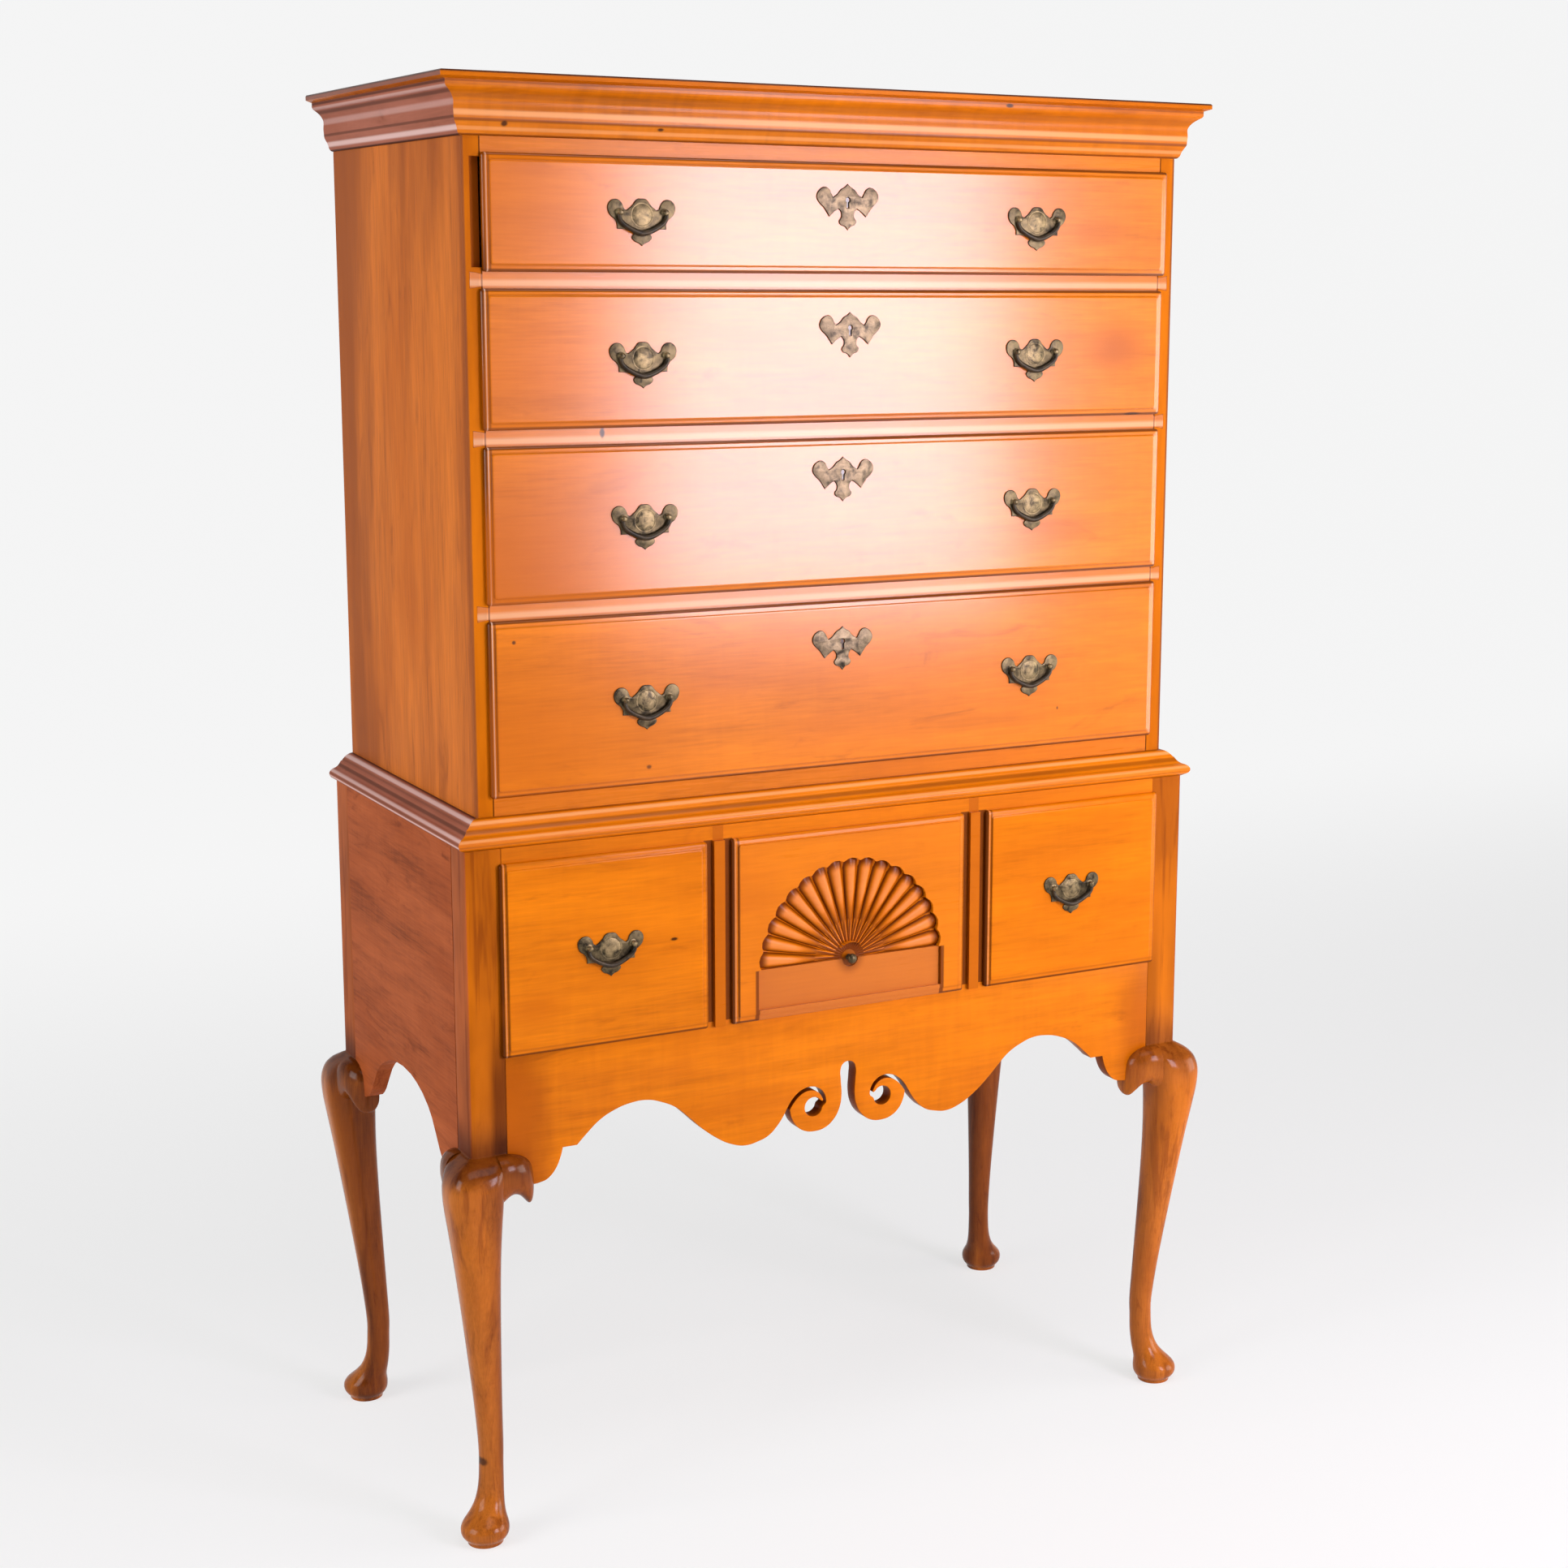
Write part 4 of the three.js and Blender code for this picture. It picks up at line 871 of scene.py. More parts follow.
def lipped(box, plane):
    """A drawer front: a body in the opening, a rounded lip and a raised field.

    It grows from a rectangle at the back, which is extruded from step to step, each an inset
    from the front's outline and a depth. plane is the depth of the lip's back.
    """
    low, high = box
    lip, step = sizes().lip_width, sizes().field_step
    face = low[1]
    rim = face + step
    body_inset, corner = 0.0060, 0.0035
    steps = [(body_inset, plane), (0.0, plane), (0.0, rim + 0.0036), (0.0003, rim + 0.0022),
             (0.0011, rim + 0.0011), (0.0024, rim + 0.0004), (0.0044, rim + 0.0001),
             (lip - 0.0006, rim), (lip, rim - 0.0002), (lip + 0.0003, rim - step * 0.7),
             (lip + 0.0010, face), (lip + 0.0024, face)]
    width, height = high[0] - low[0], high[2] - low[2]
    middle = Vector(((low[0] + high[0]) / 2, 0.0, (low[2] + high[2]) / 2))
    depth, inset = plane + 0.0143, body_inset
    bm = bmesh.new()
    bmesh.ops.create_grid(bm, x_segments=1, y_segments=1, size=0.5)
    bmesh.ops.rotate(bm, matrix=Matrix.Rotation(math.pi / 2, 3, "X"), verts=bm.verts)
    bmesh.ops.scale(bm, vec=(width, 1.0, height), verts=bm.verts)
    bmesh.ops.bevel(bm, geom=bm.verts[:], offset=corner, offset_type="OFFSET", segments=3,
                    profile=0.5, affect="VERTICES", material=-1)
    bmesh.ops.scale(bm, vec=(1 - 2 * inset / width, 1.0, 1 - 2 * inset / height), verts=bm.verts)
    moved(bm, middle.x, depth, middle.z)
    cap = bm.faces[:][0]
    for i, (new_inset, y) in enumerate(steps):
        grown = bmesh.ops.extrude_face_region(bm, geom=[cap])["geom"]
        if i > 0:
            bmesh.ops.delete(bm, geom=[cap], context="FACES_ONLY")
        cap = next(g for g in grown if isinstance(g, bmesh.types.BMFace))
        verts = cap.verts[:]
        bmesh.ops.translate(bm, vec=(0.0, y - depth, 0.0), verts=verts)
        bmesh.ops.scale(
            bm, vec=((width - 2 * new_inset) / (width - 2 * inset), 1.0,
                     (height - 2 * new_inset) / (height - 2 * inset)),
            space=Matrix.Translation(-middle), verts=verts)
        depth, inset = y, new_inset
    return bm


def waxed(most):
    """A coat of wax that is worn towards the drawer's left end."""
    return lambda finish: (finish.axes()[0].step(-0.43, -0.16) * 0.75 + 0.25) * most


def build_fronts():
    for i, name in enumerate([*UPPER, LOWER[0], LOWER[2]]):
        node = name + "_front"
        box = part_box(node)
        # top is how strong the painted shade along a front's upper edge is: strong on the upper
        # fronts
        keyhole, top = None, 0.12
        look = {"gloss": 0.24, "coat": 0.04, "shine": 0.08}
        if name in UPPER:
            centre, _, tip = plate_top(name + "_escutcheon", name)
            keyhole, top = (centre, tip - 21.0 * MM), 0.85
            share = 0.8 if name == UPPER[3] else 1.0
            look = {"gloss": 0.2, "coat": waxed(0.66 * share), "shine": 0.22 * share}
        material = maple(
            "Front maple %d" % (i + 1), colours().front, "x", (0.83 * i, 0.0, 0.37 * i), 1.5,
            edge=lip_edge(box, sizes().lip_width, top, keyhole), spots=FRONT_SPOTS.get(name, ()),
            stains_and_shade=FRONT_STAINS_AND_SHADE.get(name, ()), **look)
        plane = ((UPPER_FACE if name in UPPER else LOWER_FACE) - LIP_GAP) * MM
        settle(name + "_front_moulded", lipped(box, plane), material, name, node,
               angle=30.0)


# The fan: lobes round a small hub, sunk in an arch with a scalloped rim

# The hub's height over the front's lower edge, the radii of the hub and of the lobes' ends, how
# far the rim falls back between two lobes, and the carving's thickness, in metres
FAN_HEIGHT, FAN_HUB, FAN_RADIUS, FAN_SCALLOP, FAN_THICK = 0.0635, 0.010, 0.129, 0.0045, 0.003
FAN_LOBES = 17


def fan_shape(box):
    """The carved floor that fills the arch, closed at its back."""
    face, middle = box[0][1], box[0][2] + FAN_HEIGHT
    bm = bmesh.new()
    bmesh.ops.create_grid(bm, x_segments=FAN_LOBES * 8, y_segments=26, size=0.5)
    for vert in bm.verts:
        along, out = vert.co.x + 0.5, vert.co.y + 0.5
        phase = abs(math.sin(math.pi * along * FAN_LOBES))
        rim = FAN_RADIUS - FAN_SCALLOP * (1 - phase)
        radius = FAN_HUB + (rim - FAN_HUB) * out
        angle = math.pi * (1 - along)
        swell = min(1.0, out * 1.6) * math.sqrt(max(0.0, 1 - (max(0.0, out - 0.86) / 0.17) ** 2))
        height = sizes().fan_crest * swell * phase ** 0.62
        vert.co = Vector((radius * math.cos(angle), face + sizes().fan_depth - height,
                          middle + radius * math.sin(angle)))
    pulled(bm, bmesh.ops.extrude_face_region(bm, geom=bm.faces[:], use_keep_orig=True),
           (0.0, FAN_THICK, 0.0))
    return bm


def build_fan():
    name = LOWER[1]
    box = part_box(name + "_front")
    face, middle = box[0][1], box[0][2] + FAN_HEIGHT
    red = front_tint(0.12, 0.6)

    def from_hub(x, z):
        return (x * x + (z - middle) ** 2.0) ** 0.5

    def grooves(finish):
        """A painted highlight on the crowns, and painted shade in the grooves and along the rim.
        """
        x, y, z = finish.axes()
        # Painted highlight on the crowns, then painted shade in the grooves and along the rim
        finish.over(y.fade(face + 0.0016, face + 0.0042) * 0.25, (0.86, 0.4, 0.2))
        finish.over(y.step(face + 0.0026, face + 0.0064) * 0.9, red)
        finish.over(from_hub(x, z).step(0.113, 0.1245) * 0.9, red)

    def sunk_base(finish):
        """A redder panel below the fan, its sides darkened by painted shade and patina, and darker
        round the hub.
        """
        x, _, z = finish.axes()
        plain = finish.paint
        wide, below = x.size(), z.fade(middle, middle + 0.001)
        base = wide.fade(0.1275, 0.1290) * below
        # Painted shade round the lip, which the panel then covers
        lip_edge(box, 0.0085, 0.12)(finish)
        finish.over(base, plain)
        finish.over(base * 0.55, (0.42, 0.12, 0.03))
        finish.over(from_hub(x, z).fade(0.008, 0.024) * 0.6, red)
        # Painted shade and patina along the panel's sides
        finish.over(wide.band(0.1265, 0.1285, 0.1320, 0.1345) * below * 0.85, red)

    material = maple("Fan maple", front_tint(0.98, 0.02), "x", (0.5, 0.0, 3.1), 0.8,
                     edge=grooves, gloss=0.3, coat=0.05, shine=0.07)
    settle("fan_carving", fan_shape(box), material, name, None, angle=60.0)
    paint_node(name + "_front", maple(
        "Fan drawer maple", colours().front, "x", (2.1, 0.0, 0.9), 0.95, edge=sunk_base))


# Brasses

# Right halves of the plates' outlines, from the top down, in millimetres
PLATE_HALF = [
    (0, 0), (5.5, -0.8), (11.5, -7.5), (18.5, -13.2, 1), (21.5, -11.5), (23.6, -6.6),
    (27.6, -2.2), (32.5, -0.9), (38, -2.8), (41.6, -8), (41.4, -14), (38.4, -19.4),
    (33.4, -23.4), (30.6, -28.6), (30.4, -34.2, 1), (22, -34.5), (14.6, -36.6), (10, -39.5, 1),
    (12.4, -43), (9.4, -47.6), (3.4, -50.2), (0, -53, 1),
]
ESCUTCHEON_HALF = [
    (0, 0, 1), (4.2, -3.8), (8.8, -6.2), (13.6, -11.6), (19.5, -15.5, 1), (21.8, -11.6),
    (24.8, -6.6), (29.6, -3.9), (35.6, -5.6), (40.2, -10.4), (41.4, -16.4), (38, -22.4),
    (32.4, -27.6), (28, -33.4), (24.6, -38.4, 1), (18.6, -33), (12.2, -29, 1), (8.9, -33.2),
    (8.6, -38.5), (11.5, -43.4), (9.6, -47.4), (4, -49.6), (0, -54, 1),
]
KEYHOLE = [(1.3, -28, 1), (1.3, -21.4, 1), (2.8, -19.6), (2.4, -17), (0, -15.8), (-2.4, -17),
           (-2.8, -19.6), (-1.3, -21.4, 1), (-1.3, -28, 1)]

# Turned shapes: radius and distance from the face in millimetres
MEDALLION = [(0, 2.5), (5, 2.4), (11, 2.1), (12.2, 1.75), (12.7, 2.1), (13.8, 2.1), (14.4, 1.6),
             (0, 1.6)]
POST_PROFILE = [(0, 9.4), (1.6, 9.2), (2.9, 8.4), (3.5, 7.2), (3.5, 6), (2.5, 5), (2.4, 3.4),
                (3.3, 2.6), (4.6, 2.2), (4.8, 1.4), (0, 1.4)]
PIN_PROFILE = [(0, 2), (0.9, 1.7), (1.3, 1.3), (0, 1.3)]
KNOB_PROFILE = [(0, 14), (2.6, 13.8), (5, 12.4), (6.4, 10.2), (6.2, 8), (4.4, 6.2), (2.6, 5),
                (2.4, 2.2), (4, 1), (4.2, 0), (0, 0)]

# An escutcheon's pins, from its upper tip
PINS = ((-29.0, -12.5), (29.0, -12.5), (0.0, -44.0))
# A pull, from its plate's upper tip: the pivot, the boss, a post from the middle, the bow's reach
PIVOT_DROP, BOSS_DROP, POST_SPAN, BOW_REACH = 15.5, 18.5, 28.0, 5.2
# The right half of a bail's bow: x and z from the pivot in millimetres, and share of its width
BOW_HALF = [(25.6, 0.4, 0.75), (28.6, 0.2, 0.78), (30, -4.4, 0.82), (27.4, -10.6, 0.9),
            (20.6, -15.6, 0.98), (13, -19.6, 1.06), (6, -22.4, 1.14), (0, -23.6, 1.2)]


def plate_top(node, body):
    """The place of a plate's upper tip on its drawer's face."""
    low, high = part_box(node)
    return (low.x + high.x) / 2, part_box(body + "_front")[0].y, high.z


def plated(name, loops, thick, place):
    """A flat plate whose bevel and edge have the second, darker finish; place is its top."""
    bm = outlined(name, loops, thick * MM, sizes().plate_edge, 5)
    for face in bm.faces:
        face.material_index = 0 if face.normal.y < -0.95 else 1
    return moved(bm, place[0], place[1] - thick * MM, place[2])


def turned(profile, centre, count=24, finish=0):
    """A turned shape that stands out to the front: (radius, distance) pairs in millimetres."""
    bm = bmesh.new()
    made = [bm.verts.new((r * MM, 0.0, d * MM)) for r, d in profile]
    edges = [bm.edges.new(pair) for pair in zip(made, made[1:])]
    bmesh.ops.spin(
        bm, geom=made + edges, cent=(0, 0, 0), axis=(0, 0, 1), angle=2 * math.pi, steps=count,
        use_merge=True)
    bmesh.ops.remove_doubles(bm, verts=bm.verts, dist=WELD)
    turn = Vector((0, 0, 1)).rotation_difference(Vector((0, -1, 0))).to_matrix().to_4x4()
    bmesh.ops.transform(bm, matrix=Matrix.Translation(centre) @ turn, verts=bm.verts)
    bmesh.ops.recalc_face_normals(bm, faces=bm.faces)
    for face in bm.faces:
        face.material_index = finish
    return bm


def bow_shape(name, place):
    """A bail's bow with tapered ends; place is the middle between its two posts."""
    bail = curve(name, dimensions="3D", bevel_depth=sizes().bail_width / 2, bevel_resolution=3,
                 resolution_u=6, use_fill_caps=True)
    spline = bail.splines.new("NURBS")
    path = BOW_HALF + [(-x, z, share) for x, z, share in reversed(BOW_HALF[:-1])]
    spline.points.add(len(path) - 1)
    for point, (x, z, share) in zip(spline.points, path):
        point.co = (place[0] + x * MM, place[1], place[2] + z * MM, 1.0)
        point.radius = share
    spline.order_u = 4
    spline.use_endpoint_u = True
    return curved_bmesh(name, bail)


def build_pull(label, body, brass, dark, wear_and_highlight):
    centre, face, top = plate_top(label + "_plate", body)
    pivot = top - PIVOT_DROP * MM
    bm = plated(label, [both_sides(PLATE_HALF)], 1.6, (centre, face, top))
    merged(bm, turned(MEDALLION, (centre, face, top - BOSS_DROP * MM), 32, 2))
    for x in (-POST_SPAN, POST_SPAN):
        merged(bm, turned(POST_PROFILE, (centre + x * MM, face, pivot), finish=2))
    settle(label + "_plate_cast", bm, (brass, dark, wear_and_highlight), body, label + "_plate",
           angle=16.0)
    settle(label + "_bail_cast", bow_shape(label, (centre, face - BOW_REACH * MM, pivot)), dark,
           label + "_bail", label + "_bail", angle=60.0)


def build_escutcheon(name, brass, dark):
    centre, face, top = plate_top(name + "_escutcheon", name)
    bm = plated(name, [both_sides(ESCUTCHEON_HALF), outline(KEYHOLE)], 1.4, (centre, face, top))
    for x, z in PINS:
        merged(bm, turned(PIN_PROFILE, (centre + x * MM, face, top + z * MM), 12))
    settle(name + "_escutcheon_cast", bm, (brass, dark), name, name + "_escutcheon",
           angle=16.0)


def build_brasses():
    red, green, blue = colours().brass
    brass = aged_brass("Aged brass", tinted(colours().brass, 0.78))
    wear_and_highlight = aged_brass("Worn brass", tinted(colours().brass, 1.3))
    grey = aged_brass("Greyed brass", (red * 1.14, green * 1.13, blue * 1.4))
    dark = aged_brass("Tarnished brass", tinted(colours().brass, 0.22, 0.15), 0.45, 0.5)
    for name in UPPER:
        for side in ("left", "right"):
            build_pull(name + "_" + side, name, brass, dark, wear_and_highlight)
        build_escutcheon(name, grey, dark)
    for name in (LOWER[0], LOWER[2]):
        build_pull(name, name, brass, dark, wear_and_highlight)
    low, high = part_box("fan_knob")
    centre = ((low.x + high.x) / 2, low.y + KNOB_PROFILE[0][1] * MM, (low.z + high.z) / 2)
    settle("fan_knob_turned", turned(KNOB_PROFILE, centre), brass, LOWER[1], "fan_knob")


# Solids that stay as they are, with their own finish


def paint_node(node, material):
    """Gives a solid its finish, and changes nothing else of it."""
    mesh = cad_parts[node].data
    mesh.materials.clear()
    mesh.materials.append(material)


def strip_gap_shade(finish):
    """Painted shade in the gaps beside the raised strips between the lower drawers."""
    x, _, z = finish.axes()
    left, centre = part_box(LOWER[0] + "_front"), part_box(LOWER[1] + "_front")
    away = (x.size() + (left[1].x + centre[0].x) / 2).size()
    finish.over(away.fade(0.0066, 0.0076) * 0.8, front_tint(0.6, 0.15))
    # Painted shade in the gaps
    gap_shade = away.band(0.0066, 0.0076, 0.018, 0.02) * z.fade(left[1].z, left[1].z + 0.002)
    finish.over(gap_shade * 0.88, front_tint(0.12, 0.4))


def railed(node):
    """Painted shade along a rail's arrises, a painted highlight line along it, and the joint of
    its dovetailed ends.
    """
    low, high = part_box(node)

    def paint_on(finish):
        x, y, z = finish.axes()
        dark = front_tint(0.16, 0.4)
        face = y.fade(*UPPER_SKIN)
        share = (z - low.z) / (high.z - low.z)
        # A painted highlight line along the rail
        finish.over(share.band(0.22, 0.32, 0.42, 0.6) * face * 0.4, (0.9, 0.62, 0.36))
        # Painted shade along the upper and lower arrises
        arris = share.fade(0.12, 0.24).most(share.step(0.74, 0.92))
        finish.over(arris * face * 0.7, dark)
        joint = x.size().band(0.4545, 0.4555, 0.4565, 0.4575)
        tail = x.size().step(0.458, 0.4595)
        finish.over((joint + tail * 0.3) * face * 0.7, dark)

    return paint_on


def cased(finish):
    """The rebate beside the top drawer, painted lighter against its shade, streaks of patina
    towards the case's corners, and painted shade beside the drawers.
    """
    x, y, z = finish.axes()
    paint, wide, stile = colours(), x.size(), y.fade(*UPPER_SKIN)
    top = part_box(UPPER[0] + "_front")[0].z
    patch = finish.streaks((9.0, 9.0, 1.3), 4.0, 0.6, 0.4, (0.4, 1.7, 0.3))
    # Streaks towards the rear, front, upper and lower edge
    corner = (y.step(0.02, 0.241) * 0.22 + y.fade(-0.222, -0.205) * 0.3
              + z.step(1.45, 1.66) * 0.1 + z.fade(0.92, 1.04) * 0.1)
    finish.over((patch + corner).step(0.46, 0.86) * 0.85, tinted(paint.side, 0.4, 0.2))
    wave = finish.streaks((30.0, 1.0, 4.0), 3.0, 0.6, shift=(0.2, 0.0, 0.8))
    # The stile in front, its outer arris, the rebate painted lighter against its shade, and a
    # painted shade line beside the drawers
    finish.over(stile, finish.mix(wave.step(0.3, 0.7), front_tint(0.95), front_tint(0.62, 0.1)))
    finish.over(wide.step(0.4735, 0.4755) * stile * 0.65, tinted(paint.moulding, 0.35))
    deep = y.step(*UPPER_SKIN) * y.fade(-0.2125, -0.212)
    # Painted light in the rebate, against its shade
    rebate_light = x.step(-0.4685, -0.4675) * deep * z.step(top - 0.004, top - 0.002)
    finish.over(rebate_light * 0.3, front_tint(0.9))
    # A painted shade line on the stile beside the drawers
    finish.over(wide.fade(0.4562, 0.4572) * stile * 0.85, front_tint(0.07, 0.3))


def build_boards():
    paint = colours()
    rail = maple("Rail maple", paint.front, "x", (0.4, 0.2, 5.3), 1.3, gloss=0.28, coat=0.1,
                 shine=0.15)
    for node in ("top_rail", "bottom_board"):
        paint_node(node, rail)
    for i in range(3):
        node = "drawer_divider_%d" % (i + 1)
        paint_node(node, maple(
            "Divider maple %d" % (i + 1), paint.front, "x", (0.4 + i, 0.2, 5.3), 0.9, gloss=0.25,
            coat=0.25, shine=0.35, edge=railed(node),
            spots=[(-0.3143, 1.3252, 0.004, 0.009, 0.95)] if i == 1 else ()))
    paint_node("lower_front_frame", maple(
        "Lower frame maple", paint.front, "x", (1.4, 0.7, 2.3), 1.3, coat=0.04, shine=0.08,
        edge=strip_gap_shade))
    for side, x in (("left", 0.37), ("right", 1.9)):
        paint_node("upper_%s_side" % side, maple(
            "Upper side maple " + side, paint.side, "z", (x, 0.6, 0.2), 2.4, gloss=0.4, coat=0.0,
            shine=0.03, edge=cased, curl=0.0))
        paint_node("lower_%s_side" % side, maple(
            "Lower side maple " + side, paint.low_side, "y", (x, 1.6, 0.9), 2.6, gloss=0.45,
            coat=0.0, shine=0.02, fine=1.4))
    joint = tinted(paint.inside, 0.12)
    for node, heights in (("upper_back", (1083.0, 1287.0, 1492.0)), ("lower_back", (662.0,))):
        paint_node(node, maple(
            "Backboards " + node.replace("_", " "), tinted(paint.inside, 0.9), "x",
            (heights[0] * MM, 0.0, 0.7), 1.1, gloss=0.72, coat=0.0,
            edge=banded([(height, 1.6, 0.9, joint) for height in heights])))
    pine = maple("Bare pine", paint.inside, "x", (0.0, 0.0, 0.0), 0.7, gloss=0.72)
    deep = maple("Bare pine boxes", paint.inside, "y", (0.3, 0.0, 0.0), 0.7, gloss=0.72)
    paint_node("lower_runner_frame", pine)
    for name in UPPER + LOWER:
        paint_node(name + "_box", deep)


# Floor, lamps and camera

# Place in metres, then yaw, pitch and roll in degrees
CAMERA_PLACE = Vector((-1.4594, -2.9388, 1.5020))
CAMERA_TURN = (29.03, 10.51, 0.34)
# Focal length, optical middle and size of the picture in its pixels, and the sensor in mm
CAMERA_FOCAL = 3127.3
CAMERA_MIDDLE = (1080.0, 922.2)
PHOTO_SIZE = 1932.0
SENSOR = 36.0
# The backdrop: half its width, where it turns up, how high it goes, and the bend's size, in m
FLOOR_REACH, WALL_PLACE, WALL_HEIGHT, BEND = 40.0, 12.0, 14.0, 4.0


# Place and aim in metres, size in metres, power in watts, colour
LAMPS = {
    "Front lamp": ((1.08, -2.4, 1.38), (0.0, -0.24, 1.35), (0.84, 1.2), 53.0, (0.95, 0.86, 1.0)),
    "Right lamp": ((3.0, -1.8, 0.9), (0.3, -0.24, 0.9), (1.7, 1.7), 60.0, (1.0, 0.95, 0.9)),
    "Left lamp": ((-4.0, -0.6, 2.3), (0.0, 0.0, 1.1), (2.2, 2.2), 100.0, (1.0, 1.0, 1.0)),
    "Top lamp": ((0.2, -1.4, 4.2), (0.0, 0.0, 0.8), (2.6, 2.0), 44.0, (1.0, 1.0, 1.0)),
}


def build_lamps():
    for name, (place, aim, size, power, tint) in LAMPS.items():
        data = bpy.data.lights.new(name, "AREA")
        data.shape = "RECTANGLE"
        data.size, data.size_y = size
        data.energy = power
        data.color = tint
        lamp = linked(name, data)
        lamp.location = place
        lamp.rotation_euler = (Vector(aim) - Vector(place)).to_track_quat("-Z", "Y").to_euler()


def build_camera():
    yaw, pitch, roll = (math.radians(v) for v in CAMERA_TURN)
    turn = (Matrix.Rotation(-yaw, 4, "Z") @ Matrix.Rotation(math.pi / 2 - pitch, 4, "X")
            @ Matrix.Rotation(roll, 4, "Z"))
    data = bpy.data.cameras.new("Camera")
    data.sensor_width = SENSOR
    data.lens = CAMERA_FOCAL / PHOTO_SIZE * SENSOR
    data.shift_x = (PHOTO_SIZE / 2 - CAMERA_MIDDLE[0]) / PHOTO_SIZE
    data.shift_y = (CAMERA_MIDDLE[1] - PHOTO_SIZE / 2) / PHOTO_SIZE
    data.clip_end = 60.0
    camera = linked("Camera", data)
    camera.matrix_world = Matrix.Translation(CAMERA_PLACE) @ turn
    bpy.context.scene.camera = camera


def backdrop_finish():
    """White paper that takes shadows, and glows where the camera or a reflection sees it."""
    finish = Finish("Backdrop paper")
    shade = tuple(colours().backdrop)
    seen = finish.node("ShaderNodeLightPath", output="Is Camera Ray")
    for kind in ("Is Glossy Ray", "Is Transmission Ray"):
        seen = seen.most(finish.node("ShaderNodeLightPath", output=kind))
    x, y, _ = finish.axes()
    far_off = y.step(0.4, 3.5).most(((x * x + y * y) ** 0.5).step(5.0, 13.0))
    glow = finish.node("ShaderNodeEmission", {}, {"Color": shade, "Strength": 1.0})
    finish.close(Base_Color=shade, Roughness=0.9, Specular_IOR_Level=0.1)
    blend = finish.node("ShaderNodeMixShader", {}, {
        0: seen * (0.7 + far_off * 0.25), 1: Value(finish, finish.shader.outputs[0]), 2: glow})
    finish.tree.links.new(blend.socket, finish.output.inputs[0])
    return finish.material


def build_backdrop():
    bm = bmesh.new()
    bmesh.ops.create_grid(bm, x_segments=1, y_segments=1, size=FLOOR_REACH)
    moved(bm, y=WALL_PLACE - FLOOR_REACH)
    rise = (0.0, 0.0, WALL_HEIGHT)
    far = [e for e in bm.edges if all(v.co.y > WALL_PLACE - 0.1 for v in e.verts)]
    pulled(bm, bmesh.ops.extrude_edge_only(bm, edges=far), rise)
    sides = [e for e in bm.edges if e.is_boundary and all(abs(v.co.z) < 0.1 for v in e.verts)]
    pulled(bm, bmesh.ops.extrude_edge_only(bm, edges=sides), rise)
    fold = [e for e in bm.edges
            if all(v.co.y > WALL_PLACE - 0.1 and abs(v.co.z) < 0.1 for v in e.verts)]
    bmesh.ops.bevel(
        bm, geom=fold, offset=BEND, offset_type="OFFSET", segments=12, profile=0.5,
        affect="EDGES", material=-1, clamp_overlap=True)
    mesh = frozen("backdrop", bm)
    mesh.shade_smooth()
    mesh.materials.append(backdrop_finish())
    linked("backdrop", mesh)


def build_stage():
    scene = bpy.context.scene
    scene.view_settings.view_transform = "Standard"
    build_backdrop()
    world = bpy.data.worlds.new("Studio")
    world.use_nodes = True
    scene.world = world
    sky = world.node_tree.nodes["Background"]
    sky.inputs[0].default_value = (0.93, 0.95, 1.0, 1.0)
    sky.inputs[1].default_value = 0.16
    build_lamps()
    build_camera()


# Operators, panel and registration


class HIGHBOY_OT_legs(bpy.types.Operator):
    """Builds the four cabriole legs with their posts and knee blocks"""
    bl_idname = "highboy.legs"
    bl_label = "Legs"

    def execute(self, context):
        build_legs()
        return {"FINISHED"}


class HIGHBOY_OT_apron(bpy.types.Operator):
    """Builds the scrolled front apron"""
    bl_idname = "highboy.apron"
    bl_label = "Apron"

    def execute(self, context):
        build_apron()
        return {"FINISHED"}


class HIGHBOY_OT_mouldings(bpy.types.Operator):
    """Builds the cornice, the top board's edge and the waist moulding"""
    bl_idname = "highboy.mouldings"
    bl_label = "Mouldings"

    def execute(self, context):
        build_mouldings()
        return {"FINISHED"}


class HIGHBOY_OT_fronts(bpy.types.Operator):
    """Builds the lipped drawer fronts"""
    bl_idname = "highboy.fronts"
    bl_label = "Drawer fronts"

    def execute(self, context):
        build_fronts()
        return {"FINISHED"}


class HIGHBOY_OT_fan(bpy.types.Operator):
    """Builds the carved fan"""
    bl_idname = "highboy.fan"
    bl_label = "Fan"

    def execute(self, context):
        build_fan()
        return {"FINISHED"}


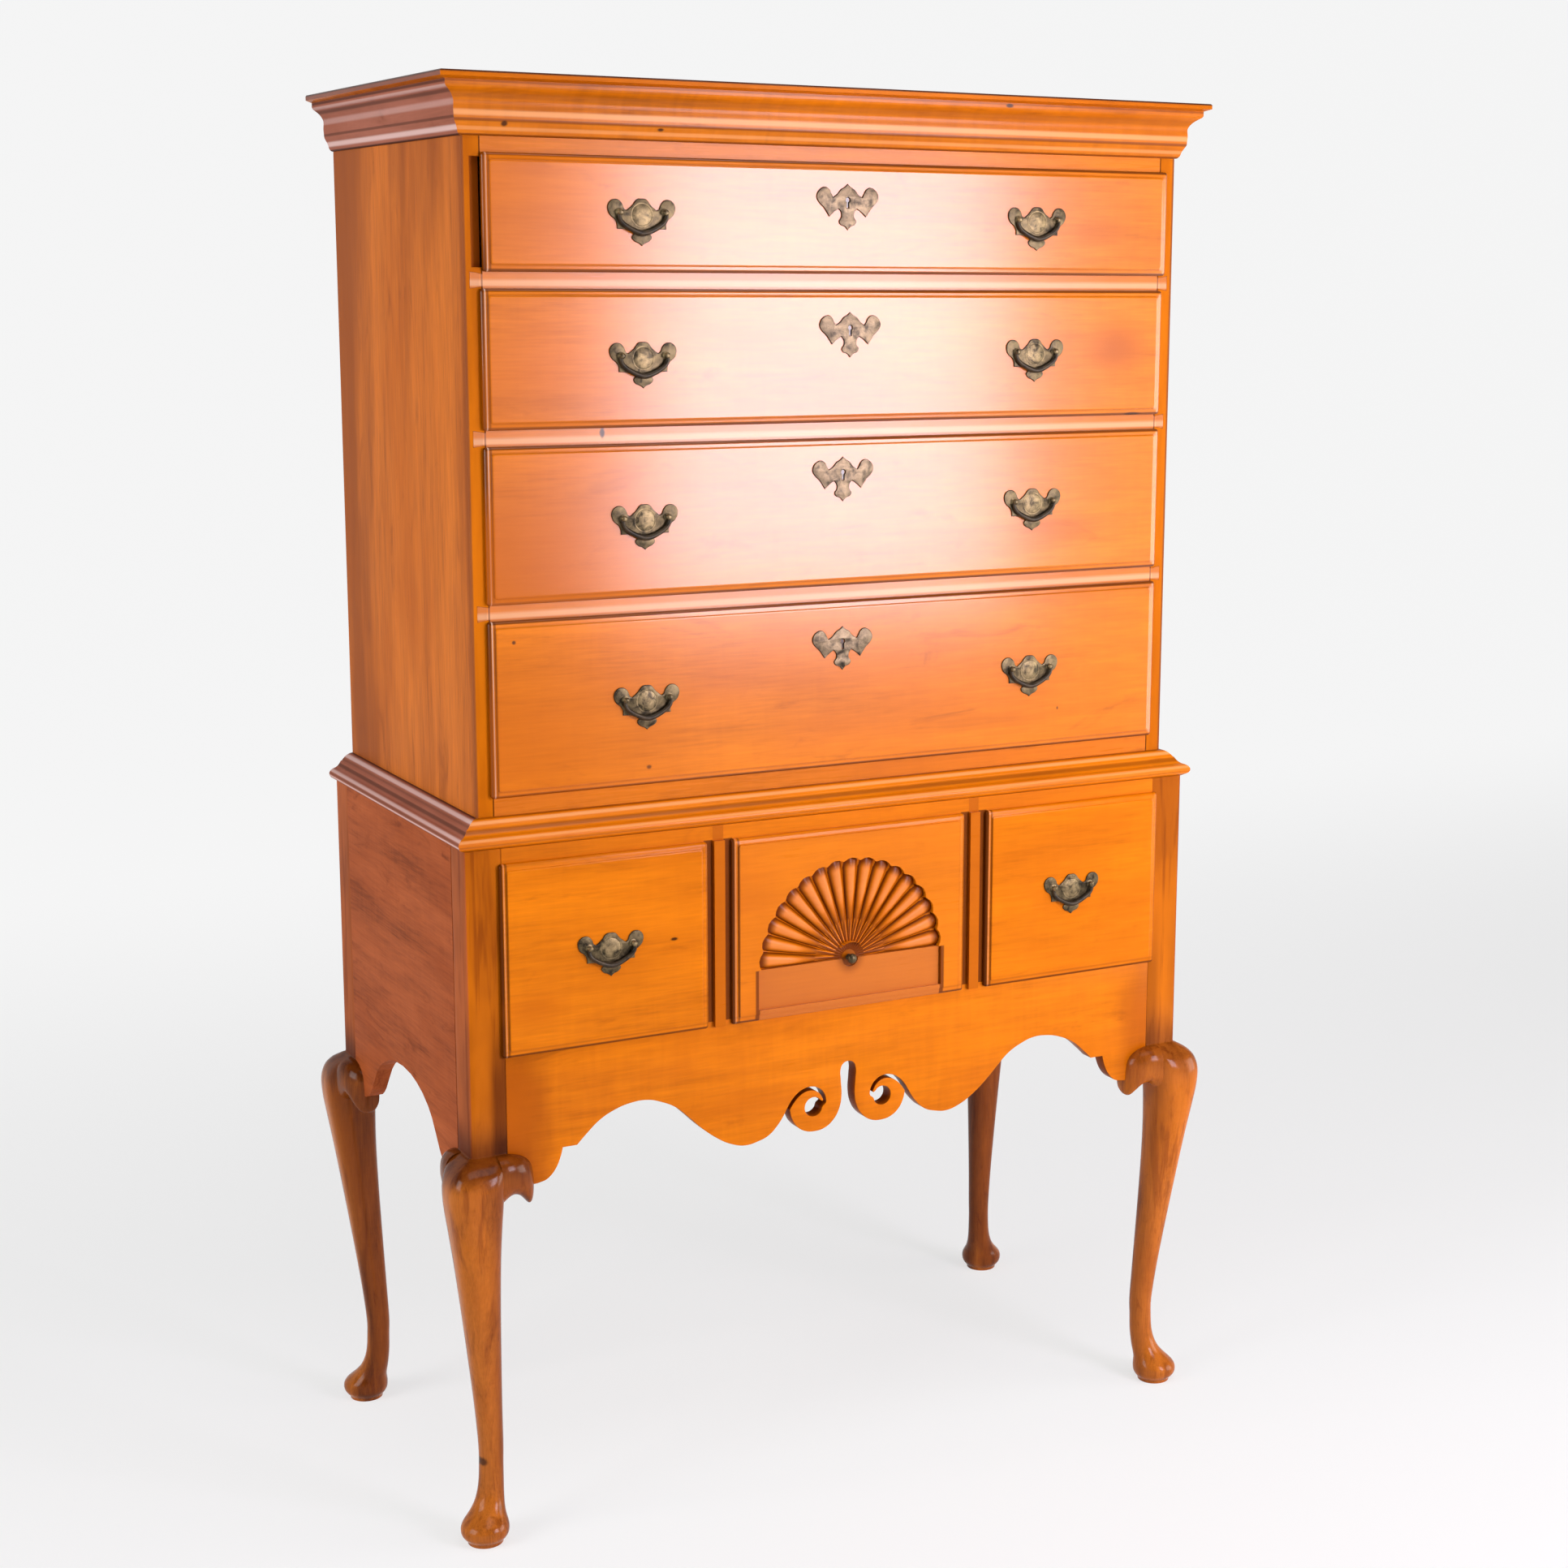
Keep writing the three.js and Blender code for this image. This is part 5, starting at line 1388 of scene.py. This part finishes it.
class HIGHBOY_OT_brasses(bpy.types.Operator):
    """Builds the bail pulls, the escutcheons and the fan's knob"""
    bl_idname = "highboy.brasses"
    bl_label = "Brasses"

    def execute(self, context):
        build_brasses()
        return {"FINISHED"}


class HIGHBOY_OT_boards(bpy.types.Operator):
    """Finishes the boards, rails and drawer boxes"""
    bl_idname = "highboy.boards"
    bl_label = "Boards"

    def execute(self, context):
        build_boards()
        return {"FINISHED"}


class HIGHBOY_OT_stage(bpy.types.Operator):
    """Sets up the backdrop, the lamps and the camera"""
    bl_idname = "highboy.stage"
    bl_label = "Stage"

    def execute(self, context):
        build_stage()
        return {"FINISHED"}


OPERATORS = (
    HIGHBOY_OT_legs, HIGHBOY_OT_apron, HIGHBOY_OT_mouldings, HIGHBOY_OT_fronts, HIGHBOY_OT_fan,
    HIGHBOY_OT_brasses, HIGHBOY_OT_boards, HIGHBOY_OT_stage,
)


class HIGHBOY_PT_panel(bpy.types.Panel):
    """Lists the highboy's sizes, colours and pieces"""
    bl_idname = "HIGHBOY_PT_panel"
    bl_label = "Highboy"
    bl_space_type = "VIEW_3D"
    bl_region_type = "UI"
    bl_category = "Highboy"

    def draw(self, context):
        for group in (context.scene.highboy_sizes, context.scene.highboy_colours):
            for key in group.__annotations__:
                self.layout.prop(group, key)
        for operator in OPERATORS:
            self.layout.operator(operator.bl_idname)


CLASSES = (HighboySizes, HighboyColours, *OPERATORS, HIGHBOY_PT_panel)


def register():
    for cls in CLASSES:
        bpy.utils.register_class(cls)
    bpy.types.Scene.highboy_sizes = bpy.props.PointerProperty(type=HighboySizes)
    bpy.types.Scene.highboy_colours = bpy.props.PointerProperty(type=HighboyColours)


def unregister():
    del bpy.types.Scene.highboy_sizes
    del bpy.types.Scene.highboy_colours
    for cls in reversed(CLASSES):
        bpy.utils.unregister_class(cls)


def main():
    register()
    for operator in OPERATORS:
        group, name = operator.bl_idname.split(".")
        getattr(getattr(bpy.ops, group), name)()


if __name__ == "__main__":
    main()
